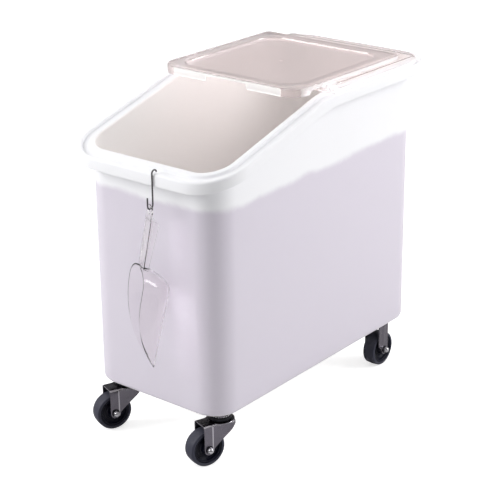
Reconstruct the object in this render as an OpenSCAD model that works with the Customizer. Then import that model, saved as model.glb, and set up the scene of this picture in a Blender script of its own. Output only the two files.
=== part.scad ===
// Rolling ingredient bin: a one-piece tub on four casters, with a two-piece clear lid whose front half
// slides back on the rear half, and a clear scoop that hangs from the front rim on a wire hook.
// Millimetres, +Z up. The origin is on the floor under the middle of the tub, and the front faces -Y.

/* [Tub] */
// Length over the rim, front to back
rim_l = 718; // [660:1:780]
// Width over the rim
rim_w = 392; // [370:1:440]
// Height of the flat rear part of the rim above the floor
rim_z = 688; // [640:1:740]
// How far the rim stands out beyond the wall
rim_overhang = 30; // [29:0.5:36]
// Height of the skirt that turns down round the rim
rim_skirt_h = 23.5; // [20:0.5:32]
// Thickness of the rim's skirt and of its top under the groove
rim_t = 4; // [3:0.5:6]
// Width of the raised bead along the rim's outer edge
bead_w = 8; // [6:0.5:10]
// Width of the groove that takes the lip of the lid
groove_w = 15; // [12:0.5:17]
// Depth of that groove
groove_d = 6; // [5:0.5:7]
// Slope of the front part of the rim, in degrees
slope = 15.5; // [12:0.25:18]
// Place along Y where the rim turns from flat to sloping
knee_y = -14; // [-30:1:-12]
// Thickness of the walls
wall_t = 5; // [3:0.5:7]
// Thickness of the floor, which takes the caster bolts
floor_t = 14; // [13:0.5:20]
// Radius of the upright corners, outside
corner_r = 56; // [50:1:70]
// Radius along the bottom edge, outside
foot_r = 10; // [8:0.5:12]

/* [Lid] */
// Thickness of the clear sheet of both lids
sheet_t = 3; // [2:0.25:4]
// Height of the rear lid's top above the rim
rear_lid_rise = 6; // [5.5:0.25:8]
// Room between the rear lid's front edge and the knee of the rim
rear_lid_setback = 6; // [4:0.5:12]
// How far the front lid stays inside the rim on each side
lid_inset = 25; // [24:0.5:28]
// Length of the front lid
lid_l = 349; // [335:1:365]
// Place along Y of the front lid's front edge when it is slid back
lid_front_y = -97; // [-105:1:-85]
// Height of the front lid's rails above the rim
rail_rise = 14; // [12.5:0.25:16]
// Depth of the front lid's side skirt
lid_side_h = 9; // [8:0.5:12]
// Depth of the front lid's front skirt
lid_front_h = 18; // [14:0.5:19]
// How far the front skirt wraps round the front corners
lid_wrap = 44; // [40:1:60]
// Radius of the front lid's front corners
lid_front_r = 38; // [25:1:45]
// Radius of the front lid's rear corners
lid_rear_r = 14; // [8:1:20]
// Width of the border round the sunk panel
lid_border = 27; // [20:1:35]
// Depth of the sunk panel
panel_d = 5; // [3:0.5:6]
// Width of the hand notch in the front skirt
notch_w = 100; // [80:1:120]
// How far the rail stands out from the lid's side
rail_w = 3.5; // [3:0.25:5]
// Thickness of the rail
rail_t = 2; // [1.5:0.25:2.5]
// Length of each lid guide
guide_l = 36; // [30:1:44]
// Wall of each lid guide
guide_t = 2.2; // [1.8:0.1:3]
// Diameter of the pins that the guides tilt on
guide_pin_d = 4; // [3:0.25:5]
// Height of the tilt axis above the rim
tilt_rise = 9; // [8.5:0.25:10]

/* [Scoop and hook] */
// Place of the hook along the front rim
hook_x = 44; // [-80:1:80]
// Diameter of the hook's wire
wire_d = 3; // [2.5:0.25:4]
// Length of the hook's shank from the rim's top to its lower bend
hook_drop = 58.5; // [50:0.5:90]
// Radius of the hook's lower bend, at the middle of the wire
hook_bend_r = 7; // [6:0.5:9]
// Height of the hook's free end above its lower bend
hook_tip_h = 16; // [8:1:24]
// Length of the scoop's handle, from its hole to the bowl
handle_l = 104; // [90:1:120]
// Width of the handle
handle_w = 30; // [24:1:34]
// Depth of the handle's channel at its upper end
handle_d = 18; // [12:0.5:20]
// Depth of the handle's channel at the bowl
neck_d = 10; // [8:0.5:12]
// Length of the bowl along its keel
bowl_l = 207; // [190:1:215]
// Width of the bowl
bowl_w = 86; // [76:1:90]
// Depth of the bowl
bowl_d = 66; // [56:0.5:68]
// Length of the bowl's round back
bowl_back = 34; // [24:1:38]
// How far the bowl's mouth stands out before the handle
mouth_out = 6; // [4:0.5:8]
// Thickness of the scoop
scoop_t = 2.5; // [2:0.25:3.5]
// Diameter of the hole at the handle's end
hang_hole_d = 12; // [11:0.5:14]
// Turn of the hanging scoop about the vertical, in degrees
scoop_yaw = -30; // [-40:1:-20]
// Lean of the hanging scoop away from the wall, in degrees
scoop_lean = 10.5; // [9:0.5:12]

/* [Casters] */
// Diameter of the wheels
wheel_d = 76; // [70:1:90]
// Width of the wheels
wheel_w = 28; // [24:1:32]
// Thickness of the tyre
tyre_t = 7; // [5:0.5:9]
// Room above the wheel, under the fork's crown
wheel_gap = 11.5; // [8:0.5:16]
// Distance of the casters' middle from the rim's side
caster_inset = 73; // [72:1:84]
// Distance of the front casters' swivel axes from the rim's front
swivel_inset = 83; // [81:1:94]
// Distance of the rear axles from the rim's rear
rear_inset = 94; // [91:1:109]
// Distance from the swivel axis to the front axle
trail = 36; // [30:1:40]
// Turn of the right front caster, in degrees
yaw_right = -19; // [-40:1:40]
// Turn of the left front caster, in degrees
yaw_left = -22; // [-40:1:40]
// Diameter of the axle bolts
axle_d = 8; // [7:0.5:10]
// Thickness of the pressed forks
fork_t = 2.5; // [2:0.25:3.5]
// Thickness of the top plates
plate_t = 3; // [2.5:0.25:4]
// Length of the front top plates, along Y
front_plate_l = 56; // [54:1:60]
// Length of the rear top plates, along Y
rear_plate_l = 78; // [76:1:84]
// Width of the top plates
plate_w = 56; // [54:1:60]
// Distance from the middle of a bolt to the edge of its plate
bolt_edge = 8; // [7.5:0.5:9]
// Height of the swivel bearing
race_h = 19; // [15:0.5:21]
// Diameter of the swivel bearing
race_d = 44; // [38:1:45]
// Diameter of the kingpin
kingpin_d = 10; // [8:0.5:12]
// Diameter of the caster bolts
bolt_d = 6; // [5:0.5:7]

/* [Clearances] */
// Room between flat pieces that move on each other
slide_gap = 0.3; // [0.2:0.05:0.5]
// Room round pins, axles and bores, on the radius
pin_gap = 0.05; // [0.02:0.01:0.08]
// Room between the wheel and the fork's legs
leg_gap = 2.5; // [2:0.25:4]

/* [Hidden] */
$fn = 64;
far = 1000;
skin = 1;

// Tub
body_w = rim_w - 2 * rim_overhang;
body_l = rim_l - 2 * rim_overhang;
rim_r = corner_r + rim_overhang;
inner_r = corner_r - wall_t;
least_foot_r = 2;
inner_foot_r = max(foot_r - wall_t, least_foot_r);
base_z = wheel_d + wheel_gap + fork_t + race_h + plate_t;
floor_z = base_z + floor_t;
function rim_top(y) = rim_z - max(knee_y - y, 0) * tan(slope);

// Rear lid
flange_room = 6;
plateau_lap = 2;
plateau_room = 3;
rear_lid_front = knee_y + rear_lid_setback;
flange_z = rim_z + slide_gap;
flange_inset = bead_w + flange_room;
lip_inset = flange_inset + sheet_t;
plateau_inset = rim_overhang + wall_t - plateau_lap;
plateau_side = lid_inset + rail_w + guide_t + plateau_room;
rear_lid_top = rim_z + rear_lid_rise;

// Front lid, slid back
lid_w = rim_w - 2 * lid_inset;
lid_rear_y = lid_front_y + lid_l;
rail_z = rim_z + rail_rise;
lid_top = rail_z + lid_side_h;
panel_w = lid_w - 2 * lid_border;
panel_l = lid_l - 2 * lid_border;
rail_x = lid_w / 2 + rail_w;
rail_end = 2;

// Lid guides
tilt_back = 14;
guide_nose = 12;
guide_lap = 3;
eye_wall = 3;
tilt_y = knee_y + tilt_back;
tilt_z = rim_z + tilt_rise;
guide_front = tilt_y - guide_nose;
guide_in = lid_w / 2 - guide_lap;
guide_slot_x = rail_x + slide_gap;
guide_out = guide_slot_x + guide_t;
guide_top = rail_z + rail_t + slide_gap + guide_t;
guide_eye_r = guide_pin_d / 2 + eye_wall;
ear_t = sheet_t;
ear_x = guide_out + slide_gap;
pin_l = guide_out - guide_slot_x + slide_gap + ear_t + skin;

// Hook over the front bead
wire_r = wire_d / 2;
wire_fn = 32;
bead_y = -rim_l / 2 + bead_w / 2;
bead_half = bead_w / 2;
bead_z = rim_top(bead_y);
bead_reach = norm([bead_half, bead_half * tan(slope)]);
hook_top_r = bead_reach + wire_r + 2 * slide_gap;
shank_y = bead_y - hook_top_r;
bend_y = shank_y - hook_bend_r;
bend_z = bead_z - hook_drop;

// Scoop, hung by its hole from the hook's lower bend
hang_gap = 0.9;
hang_wall = 5;
tab_room = 9;
hang_z = bend_z - hook_bend_r + wire_r + hang_gap;
hole_r = hang_hole_d / 2;
handle_end = hole_r + hang_wall;
tab_l = hole_r + tab_room;
neck_overlap = 4.2;
back_slope = 0.27;
bowl_rings = 22;
bowl_sides = 18;
bowl_first = 0.06;
bowl_last = 0.87;
tip_share = 3.5;
taper_from = 0.25;
taper = 0.75;
keel_rise = 0.08;
cut_from = 0.2;
cut_power = 2.4;

// Casters
caster_x = rim_w / 2 - caster_inset;
swivel_y = swivel_inset - rim_l / 2;
rear_axle_y = rim_l / 2 - rear_inset;
axle_z = wheel_d / 2;
crown_z = base_z - plate_t - race_h;
fork_in = wheel_w / 2 + leg_gap;
fork_out = fork_in + fork_t;
core_d = wheel_d - 2 * tyre_t;
bush_wall = 2.5;
bush_d = axle_d + 2 * bush_wall;
hub_wall = 5;
hub_d = bush_d + 2 * hub_wall;
hub_gap = 0.5;
web_t = 8;
core_rim_t = 5;
core_step = 2;
tread_r = 3;
leg_wall = 7;
leg_eye_r = axle_d / 2 + leg_wall;
leg_shoulder = 10;
rear_leg_front = 22;
crown_room = 6;
crown_front = trail + leg_eye_r;
crown_rear = race_d / 2 + crown_room;
leg_rear = crown_rear * 0.8;
race_cup_h = 7;
race_waist = 3;
head_ratio = 1.8;
head_h = 5;
head_d = axle_d * head_ratio;
thread_l = 3;
dome_h = 5;
dome_d = head_d * 0.8;
kingpin_head_h = kingpin_d / 2;
bolt_head_h = 3.5;
bolt_head_d = bolt_d * head_ratio;
bolt_hole_d = bolt_d + 4 * pin_gap;
bolt_grip = 10;
bolt_l = plate_t + bolt_grip;
insert_wall = 2;
insert_d = bolt_d + 2 * insert_wall;
insert_l = 11;
bolt_x = plate_w / 2 - bolt_edge;
white_pe = [0.93, 0.93, 0.95];
clear_pc = [0.72, 0.64, 0.64];
scoop_pc = [0.78, 0.75, 0.80];
plated = [0.74, 0.75, 0.77];
dark_steel = [0.18, 0.18, 0.19];
black_core = [0.10, 0.10, 0.11];
grey_tread = [0.42, 0.42, 0.43];
brass = [0.72, 0.58, 0.30];

SIDES = ["right", "left"];

// Shared shapes

// A rectangle with round corners, in the middle of the plane
module rounded_rect(w, l, r) {
    square([w - 2 * r, l], center = true);
    square([w, l - 2 * r], center = true);
    for (x = [-1, 1], y = [-1, 1])
        translate([x * (w / 2 - r), y * (l / 2 - r)])
            circle(r);
}

// An upright prism with round corners
module prism(w, l, r, z0, z1) {
    translate([0, 0, z0])
        linear_extrude(z1 - z0)
            rounded_rect(w, l, r);
}

// An outline in Y and Z, drawn out along X from x0 to x1
module along_x(x0, x1) {
    translate([x0, 0, 0])
        rotate([90, 0, 90])
            linear_extrude(x1 - x0)
                children();
}

// The band between two lines that run a given depth below the rim's top
module rim_band(top, bottom) {
    front = -rim_l;
    along_x(-rim_w, rim_w)
        polygon([
            [rim_l, rim_z - top], [knee_y, rim_z - top], [front, rim_top(front) - top],
            [front, rim_top(front) - bottom], [knee_y, rim_z - bottom], [rim_l, rim_z - bottom]
        ]);
}

// The band of the rim between two distances in from its outer edge
module rim_ring(out, in, top, bottom) {
    intersection() {
        difference() {
            prism(rim_w - 2 * out, rim_l - 2 * out, rim_r - out, 0, rim_z + skin);
            prism(rim_w - 2 * in, rim_l - 2 * in, rim_r - in, -skin, rim_z + 2 * skin);
        }
        rim_band(top, bottom);
    }
}

// Half of an upright wall's outline, round at its foot
module footed_half(half, h, r) {
    square([half - r, h]);
    translate([0, r])
        square([half, h - r]);
    translate([half - r, r])
        circle(r);
}

// A block with round upright corners and a round bottom edge
module tub(w, l, r, z0, z1, foot) {
    h = z1 - z0;
    translate([0, 0, z0]) {
        for (x = [-1, 1], y = [-1, 1])
            translate([x * (w / 2 - r), y * (l / 2 - r), 0])
                rotate_extrude()
                    footed_half(r, h, foot);
        for (side = [0, 1])
            mirror([side, 0, 0])
                translate([0, l / 2 - r, 0])
                    rotate([90, 0, 0])
                        linear_extrude(l - 2 * r)
                            footed_half(w / 2, h, foot);
        for (end = [0, 1])
            mirror([0, end, 0])
                along_x(-w / 2 + r, w / 2 - r)
                    footed_half(l / 2, h, foot);
    }
}

// A round bar along X, centred at y and z
module bar_x(d, x0, x1, y, z) {
    translate([x0, y, z])
        rotate([0, 90, 0])
            cylinder(d = d, h = x1 - x0);
}

// Tub

module bin_body() {
    color(white_pe)
        difference() {
            union() {
                difference() {
                    tub(body_w, body_l, corner_r, base_z, rim_z, foot_r);
                    rim_band(-far, 0);
                }
                rim_ring(0, rim_overhang + wall_t, 0, rim_skirt_h);
            }
            rim_ring(rim_t, rim_overhang, groove_d + rim_t, rim_skirt_h + skin);
            rim_ring(bead_w, bead_w + groove_w, -skin, groove_d);
            tub(body_w - 2 * wall_t, body_l - 2 * wall_t, inner_r, floor_z, rim_z + far, inner_foot_r);
            bolt_places()
                translate([0, 0, base_z - skin])
                    cylinder(d = insert_d + 2 * pin_gap, h = insert_l + skin + pin_gap);
        }
}

// Lids

// Outline of the rear lid's flange or of a part of it, a given distance in from the rim's edge
module rear_lid_outline(inset) {
    intersection() {
        rounded_rect(rim_w - 2 * inset, rim_l - 2 * inset, rim_r - inset);
        translate([-rim_w, rear_lid_front])
            square([2 * rim_w, rim_l]);
    }
}

// The flat top of the rear lid
module plateau_outline(extra) {
    y0 = rear_lid_front - extra;
    y1 = rim_l / 2 - plateau_inset + extra;
    w = rim_w - 2 * plateau_side + 2 * extra;
    translate([0, (y0 + y1) / 2])
        rounded_rect(w, y1 - y0, lid_rear_r);
}

module rear_lid() {
    color(clear_pc) {
        difference() {
            union() {
                translate([0, 0, flange_z])
                    linear_extrude(sheet_t - slide_gap)
                        rear_lid_outline(flange_inset);
                translate([0, 0, flange_z])
                    linear_extrude(rear_lid_top - flange_z)
                        plateau_outline(0);
            }
            translate([0, 0, flange_z - skin])
                linear_extrude(rear_lid_top - flange_z - sheet_t + skin)
                    plateau_outline(-sheet_t);
        }
        translate([0, 0, rim_z - groove_d + skin])
            linear_extrude(groove_d - skin + sheet_t)
                difference() {
                    rear_lid_outline(flange_inset);
                    rear_lid_outline(lip_inset);
                }
        for (side = [0, 1])
            mirror([side, 0, 0])
                lid_ear();
    }
}

// An upright ear of the rear lid that takes a guide's pin
module lid_ear() {
    difference() {
        along_x(ear_x, ear_x + ear_t) {
            translate([tilt_y, tilt_z])
                circle(guide_eye_r);
            translate([tilt_y - guide_eye_r, flange_z])
                square([guide_l - guide_nose + guide_eye_r, tilt_z - flange_z]);
        }
        bar_x(guide_pin_d + 2 * pin_gap, ear_x - skin, ear_x + ear_t + skin, tilt_y, tilt_z);
    }
}

// Outline of the front lid, a given distance inside its edge
module lid_outline(inset) {
    w = lid_w - 2 * inset;
    front_r = lid_front_r - inset;
    rear_r = lid_rear_r - inset;
    y0 = lid_front_y + inset;
    y1 = lid_rear_y - inset;
    translate([-w / 2, y0 + front_r])
        square([w, y1 - y0 - front_r - rear_r]);
    translate([-w / 2 + front_r, y0])
        square([w - 2 * front_r, front_r + skin]);
    translate([-w / 2 + rear_r, y1 - rear_r - skin])
        square([w - 2 * rear_r, rear_r + skin]);
    for (x = [-1, 1]) {
        translate([x * (w / 2 - front_r), y0 + front_r])
            circle(front_r);
        translate([x * (w / 2 - rear_r), y1 - rear_r])
            circle(rear_r);
    }
}

// The sunk panel's outline, a given distance outside it
module panel_outline(extra) {
    translate([0, (lid_front_y + lid_rear_y) / 2])
        rounded_rect(panel_w + 2 * extra, panel_l + 2 * extra, lid_front_r + extra);
}

module front_lid() {
    color(clear_pc)
        union() {
            translate([0, 0, lid_top - sheet_t])
                linear_extrude(sheet_t)
                    difference() {
                        lid_outline(0);
                        panel_outline(0);
                    }
            translate([0, 0, lid_top - panel_d - sheet_t])
                difference() {
                    linear_extrude(panel_d + sheet_t)
                        panel_outline(sheet_t);
                    translate([0, 0, sheet_t])
                        linear_extrude(panel_d + sheet_t)
                            panel_outline(0);
                }
            translate([0, 0, rail_z])
                linear_extrude(lid_side_h)
                    difference() {
                        lid_outline(0);
                        lid_outline(sheet_t);
                    }
            difference() {
                translate([0, 0, lid_top - lid_front_h])
                    linear_extrude(lid_front_h)
                        difference() {
                            lid_outline(0);
                            lid_outline(sheet_t);
                            translate([-rim_w, lid_front_y + lid_wrap])
                                square([2 * rim_w, rim_l]);
                        }
                translate([-notch_w / 2, lid_front_y - skin, rail_z - far])
                    cube([notch_w, lid_front_r, far]);
            }
            for (side = [0, 1])
                mirror([side, 0, 0])
                    translate([lid_w / 2 - sheet_t, lid_front_y + lid_wrap, rail_z])
                        cube([sheet_t + rail_w, lid_l - lid_wrap - rail_end, rail_t]);
        }
}

// A channel that holds one rail of the front lid and tilts on a pin in the rear lid's ear
module lid_guide() {
    color(clear_pc)
        difference() {
            along_x(guide_in, guide_out) {
                translate([tilt_y, tilt_z])
                    circle(guide_eye_r);
                translate([tilt_y, tilt_z - guide_eye_r])
                    square([guide_l - guide_nose, guide_top - tilt_z + guide_eye_r]);
                translate([guide_front, tilt_z])
                    square([guide_nose, guide_top - tilt_z]);
            }
            translate([guide_in - skin, guide_front - skin, rail_z - slide_gap])
                cube([guide_slot_x - guide_in + skin, guide_l + 2 * skin, rail_t + 2 * slide_gap]);
            translate([guide_in - skin, guide_front - skin, rail_z - slide_gap])
                cube([lid_w / 2 + slide_gap - guide_in + skin, guide_l + 2 * skin, far]);
            bar_x(guide_pin_d + 2 * pin_gap, guide_slot_x - skin, guide_out + skin, tilt_y, tilt_z);
        }
}

module right_lid_guide() {
    lid_guide();
}

module left_lid_guide() {
    mirror([1, 0, 0])
        lid_guide();
}

module lid_guide_pins() {
    color(plated)
        for (side = [0, 1])
            mirror([side, 0, 0])
                bar_x(guide_pin_d, guide_slot_x, guide_slot_x + pin_l, tilt_y, tilt_z);
}

// Scoop and hook

// Half a turn of the hook's wire in the plane across the rim, from one angle on, round a centre
module wire_bend(y, z, r, from) {
    translate([hook_x, y, z])
        rotate([90, 0, 90])
            rotate([0, 0, from])
                rotate_extrude(angle = 180)
                    translate([r, 0])
                        rotate(90)
                            circle(wire_r, $fn = wire_fn);
}

module scoop_hook() {
    color(dark_steel) {
        wire_bend(bead_y, bead_z, hook_top_r, 0);
        translate([hook_x, shank_y, bend_z])
            cylinder(r = wire_r, h = hook_drop, $fn = wire_fn);
        wire_bend(bend_y, bend_z, hook_bend_r, 180);
        translate([hook_x, bend_y - hook_bend_r, bend_z])
            cylinder(r = wire_r, h = hook_tip_h, $fn = wire_fn);
    }
}

// The scoop hangs by the top of its hole. Its own frame has the hole at the origin, the mouth towards -Y
// and the handle's end up.
module scoop() {
    color(scoop_pc)
        translate([hook_x, bend_y, hang_z])
            rotate([-scoop_lean, 0, scoop_yaw])
                translate([0, 0, -hole_r]) {
                    scoop_handle();
                    translate([0, -mouth_out, -handle_l])
                        scoop_bowl();
                }
}

// How far down the handle runs into the bowl's sloping back, at a given depth
function neck_z(y) = -handle_l - neck_overlap - back_slope * (y + mouth_out);

// The handle's channel seen from its side, from the bowl up to the flat tab
module handle_side() {
    face = -scoop_t / 2;
    back = face + neck_d;
    polygon([[face, neck_z(face)], [back, neck_z(back)], [face + handle_d, -tab_l], [face, -tab_l]]);
}

// The handle's front plate seen from its side, up to the hole
module plate_side() {
    face = scoop_t / 2;
    polygon([[-face, neck_z(-face)], [face, neck_z(face)], [face, 0], [-face, 0]]);
}

// A channel, open to the rear, that becomes a flat tab round the hanging hole
module scoop_handle() {
    foot = 2 * handle_l;
    inner_w = handle_w - 2 * scoop_t;
    difference() {
        union() {
            along_x(-handle_w / 2, handle_w / 2)
                handle_side();
            along_x(-handle_w / 2, handle_w / 2)
                plate_side();
            translate([0, scoop_t / 2, 0])
                rotate([90, 0, 0])
                    intersection() {
                        cylinder(r = handle_w / 2, h = scoop_t);
                        translate([-handle_w / 2, -handle_w / 2, 0])
                            cube([handle_w, handle_w / 2 + handle_end, scoop_t]);
                    }
        }
        translate([-inner_w / 2, scoop_t / 2, -foot])
            cube([inner_w, handle_d, foot + skin]);
        translate([0, scoop_t, 0])
            rotate([90, 0, 0])
                cylinder(r = hole_r, h = 2 * scoop_t);
    }
}

// How full the bowl is, from 0 to 1, a distance s from its back, for a back's length
function bowl_swell(s, back) = s < back ? sqrt(1 - pow(1 - s / back, 2)) : 1;

// How far along its taper the bowl is at a share of its length
function bowl_taper(share) = max(share - taper_from, 0) / (1 - taper_from);

// How deep the mouth's edge is cut back at a share of the bowl's length, from 0 to 1
function bowl_cut(share) = pow(max(share - cut_from, 0) / (1 - cut_from), cut_power);

// A point of the bowl's wall, t in from the outside, a share k along it and a share a round it
function bowl_point(k, a, t) =
    let (
        length = bowl_l - tip_share * t,
        share = (1 - cos(180 * k)) / 2,
        s = length * share,
        full = bowl_swell(s, bowl_back - t),
        half = (bowl_w / 2 * (1 - taper * bowl_taper(share)) - t) * full,
        keel = bowl_d * (1 - keel_rise * bowl_taper(share)),
        edge = asin(bowl_cut(share) * keel / (keel - t)),
        angle = edge + (180 - 2 * edge) * a,
        y = (keel - t) * full * sin(angle)
    )
    [-half * cos(angle), y, -s - t - back_slope * y * pow(1 - share, 2)];

// The bowl: an outer and an inner wall, each of rings of points, joined along the mouth
module scoop_bowl() {
    n = bowl_rings;
    m = bowl_sides;
    step = (bowl_last - bowl_first) / n;
    points = [
        for (t = [0, scoop_t], i = [0:n], j = [0:m])
            bowl_point(bowl_first + step * i, j / m, t)
    ];
    function out(i, j) = i * (m + 1) + j;
    function in(i, j) = (n + 1 + i) * (m + 1) + j;
    function pair(a, b, c, d) = [[a, b, c], [a, c, d]];
    quads = [
        for (i = [0:n - 1], j = [0:m - 1])
            each [
                each pair(out(i, j), out(i + 1, j), out(i + 1, j + 1), out(i, j + 1)),
                each pair(in(i, j), in(i, j + 1), in(i + 1, j + 1), in(i + 1, j))
            ]
    ];
    lips = [
        for (i = [0:n - 1])
            each [
                each pair(out(i, 0), in(i, 0), in(i + 1, 0), out(i + 1, 0)),
                each pair(out(i, m), out(i + 1, m), in(i + 1, m), in(i, m))
            ]
    ];
    caps = [
        [for (j = [0:m]) out(0, j)],
        [for (j = [m:-1:0]) in(0, j)],
        [for (j = [m:-1:0]) out(n, j)],
        [for (j = [0:m]) in(n, j)]
    ];
    ends = [
        each pair(out(0, 0), out(0, m), in(0, m), in(0, 0)),
        each pair(out(n, 0), in(n, 0), in(n, m), out(n, m))
    ];
    polyhedron(points, [each quads, each lips, each caps, each ends]);
}

// Casters

// Every bolt of the four top plates, in plan
module bolt_places() {
    for (x = [-1, 1], plate = [[swivel_y, front_plate_l], [rear_axle_y, rear_plate_l]])
        translate([x * caster_x, plate[0], 0])
            plate_bolts(plate[1])
                children();
}

// The four bolts of one top plate of a given length
module plate_bolts(plate_l) {
    for (u = [-1, 1], v = [-1, 1])
        translate([u * bolt_x, v * (plate_l / 2 - bolt_edge), 0])
            children();
}

module caster_inserts() {
    color(brass)
        bolt_places()
            translate([0, 0, base_z])
                difference() {
                    cylinder(d = insert_d, h = insert_l);
                    translate([0, 0, -skin])
                        cylinder(d = bolt_d + 2 * pin_gap, h = insert_l + 2 * skin);
                }
}

module caster_bolts() {
    color(plated)
        bolt_places() {
            translate([0, 0, base_z - plate_t - bolt_head_h])
                cylinder(d = bolt_head_d, h = bolt_head_h);
            translate([0, 0, base_z - plate_t])
                cylinder(d = bolt_d, h = bolt_l);
        }
}

// A top plate with its bolt holes, in plan round its own middle
module plate_outline(plate_l) {
    difference() {
        rounded_rect(plate_w, plate_l, bolt_edge);
        plate_bolts(plate_l)
            circle(d = bolt_hole_d);
    }
}

// A front caster's frame: the swivel axis is upright at the origin and the wheel runs ahead of it
module front_place(side) {
    x = side == "right" ? caster_x : -caster_x;
    translate([x, swivel_y, 0])
        children();
}

module front_turned(side) {
    yaw = side == "right" ? yaw_right : yaw_left;
    front_place(side)
        rotate([0, 0, yaw])
            children();
}

// A rear caster's frame: the axle is over the origin
module rear_place(side) {
    x = side == "right" ? caster_x : -caster_x;
    translate([x, rear_axle_y, 0])
        children();
}

module front_plate(side) {
    color(plated)
        front_place(side)
            translate([0, 0, base_z - plate_t])
                linear_extrude(plate_t)
                    difference() {
                        plate_outline(front_plate_l);
                        circle(d = kingpin_d + 2 * pin_gap);
                    }
}

module front_race(side) {
    color(dark_steel)
        front_place(side)
            translate([0, 0, crown_z + slide_gap])
                rotate_extrude()
                    race_section(kingpin_d / 2 + pin_gap, race_d / 2, race_h - slide_gap);
}

// A swivel bearing's section: two cups of a given radius and height in all, with a waist between them
module race_section(bore_r, r, h) {
    polygon([
        [bore_r, 0], [r, 0], [r, race_cup_h], [r - race_waist, race_cup_h],
        [r - race_waist, h - race_cup_h], [r, h - race_cup_h], [r, h], [bore_r, h]
    ]);
}

module front_kingpin(side) {
    color(plated)
        front_place(side) {
            translate([0, 0, crown_z - fork_t - slide_gap - kingpin_head_h])
                cylinder(d = kingpin_d * head_ratio, h = kingpin_head_h);
            translate([0, 0, crown_z - fork_t - slide_gap])
                cylinder(d = kingpin_d, h = base_z - crown_z + fork_t + slide_gap);
        }
}

// A leg's outline in Y and Z, from the crown down to the axle's eye
module leg_outline(axle_y, front, rear) {
    translate([axle_y, axle_z])
        circle(leg_eye_r);
    polygon([
        [axle_y - leg_eye_r, axle_z], [axle_y + leg_eye_r, axle_z],
        [rear, crown_z - leg_shoulder], [rear, crown_z], [front, crown_z], [front, crown_z - leg_shoulder]
    ]);
}

module front_fork(side) {
    color(plated)
        front_turned(side)
            difference() {
                union() {
                    for (x = [-fork_out, fork_in])
                        along_x(x, x + fork_t)
                            leg_outline(-trail, -crown_front, leg_rear);
                    translate([-fork_out, -crown_front, crown_z - fork_t])
                        cube([2 * fork_out, crown_front + leg_rear, fork_t]);
                    translate([0, 0, crown_z - fork_t])
                        cylinder(r = crown_rear, h = fork_t);
                }
                translate([0, 0, crown_z - fork_t - skin])
                    cylinder(d = kingpin_d + 2 * pin_gap, h = fork_t + 2 * skin);
                bar_x(axle_d + 2 * pin_gap, -fork_out - skin, fork_out + skin, -trail, axle_z);
            }
}

module rear_fork(side) {
    color(plated)
        rear_place(side)
            difference() {
                union() {
                    translate([0, 0, base_z - plate_t])
                        linear_extrude(plate_t)
                            plate_outline(rear_plate_l);
                    for (x = [-fork_out, fork_in])
                        along_x(x, x + fork_t) {
                            translate([0, axle_z])
                                circle(leg_eye_r);
                            polygon([
                                [-leg_eye_r, axle_z], [leg_eye_r, axle_z], [leg_eye_r, base_z - plate_t],
                                [-rear_leg_front, base_z - plate_t], [-rear_leg_front, axle_z + leg_shoulder]
                            ]);
                        }
                }
                bar_x(axle_d + 2 * pin_gap, -fork_out - skin, fork_out + skin, 0, axle_z);
            }
}

// The pieces of one wheel, round an axle at y in the caster's frame
module wheel_axle(y) {
    color(plated) {
        bar_x(axle_d, -fork_out, fork_out + head_h + thread_l, y, axle_z);
        translate([-fork_out - head_h, y, axle_z])
            rotate([0, 90, 0])
                cylinder(d = head_d, h = head_h, $fn = 6);
    }
}

module wheel_nut(y) {
    color(plated)
        difference() {
            union() {
                translate([fork_out, y, axle_z])
                    rotate([0, 90, 0])
                        cylinder(d = head_d, h = head_h, $fn = 6);
                bar_x(dome_d, fork_out + head_h, fork_out + head_h + dome_h, y, axle_z);
            }
            bar_x(axle_d + 2 * pin_gap, fork_out - skin, fork_out + head_h + thread_l + pin_gap, y, axle_z);
        }
}

module wheel_bush(y) {
    color(plated)
        difference() {
            bar_x(bush_d, -fork_in, fork_in, y, axle_z);
            bar_x(axle_d + 2 * pin_gap, -fork_in - skin, fork_in + skin, y, axle_z);
        }
}

// The wheel's core: hub, web and the rim under the tyre
module wheel_core(y) {
    color(black_core)
        translate([0, y, axle_z])
            rotate([0, 90, 0])
                rotate_extrude() {
                    translate([bush_d / 2 + pin_gap, -fork_in + hub_gap])
                        square([hub_wall, 2 * (fork_in - hub_gap)]);
                    translate([hub_d / 2 - skin, -web_t / 2])
                        square([(core_d - hub_d) / 2, web_t]);
                    translate([core_d / 2 - core_rim_t, -wheel_w / 2 + core_step])
                        square([core_rim_t - pin_gap, wheel_w - 2 * core_step]);
                }
}

module wheel_tyre(y) {
    color(grey_tread)
        translate([0, y, axle_z])
            rotate([0, 90, 0])
                rotate_extrude() {
                    translate([core_d / 2, -wheel_w / 2])
                        square([tyre_t - tread_r, wheel_w]);
                    translate([core_d / 2, -wheel_w / 2 + tread_r])
                        square([tyre_t, wheel_w - 2 * tread_r]);
                    for (z = [-1, 1])
                        translate([wheel_d / 2 - tread_r, z * (wheel_w / 2 - tread_r)])
                            circle(tread_r);
                }
}

bin_body();
rear_lid();
front_lid();
right_lid_guide();
left_lid_guide();
lid_guide_pins();
scoop_hook();
scoop();
caster_inserts();
caster_bolts();
for (side = SIDES) {
    front = str("front_", side);
    rear = str("rear_", side);
    front_plate(side);
    front_race(side);
    front_kingpin(side);
    front_fork(side);
    front_turned(side) wheel_axle(-trail);
    front_turned(side) wheel_nut(-trail);
    front_turned(side) wheel_bush(-trail);
    front_turned(side) wheel_core(-trail);
    front_turned(side) wheel_tyre(-trail);
    rear_fork(side);
    rear_place(side) wheel_axle(0);
    rear_place(side) wheel_nut(0);
    rear_place(side) wheel_bush(0);
    rear_place(side) wheel_core(0);
    rear_place(side) wheel_tyre(0);
}
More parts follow.
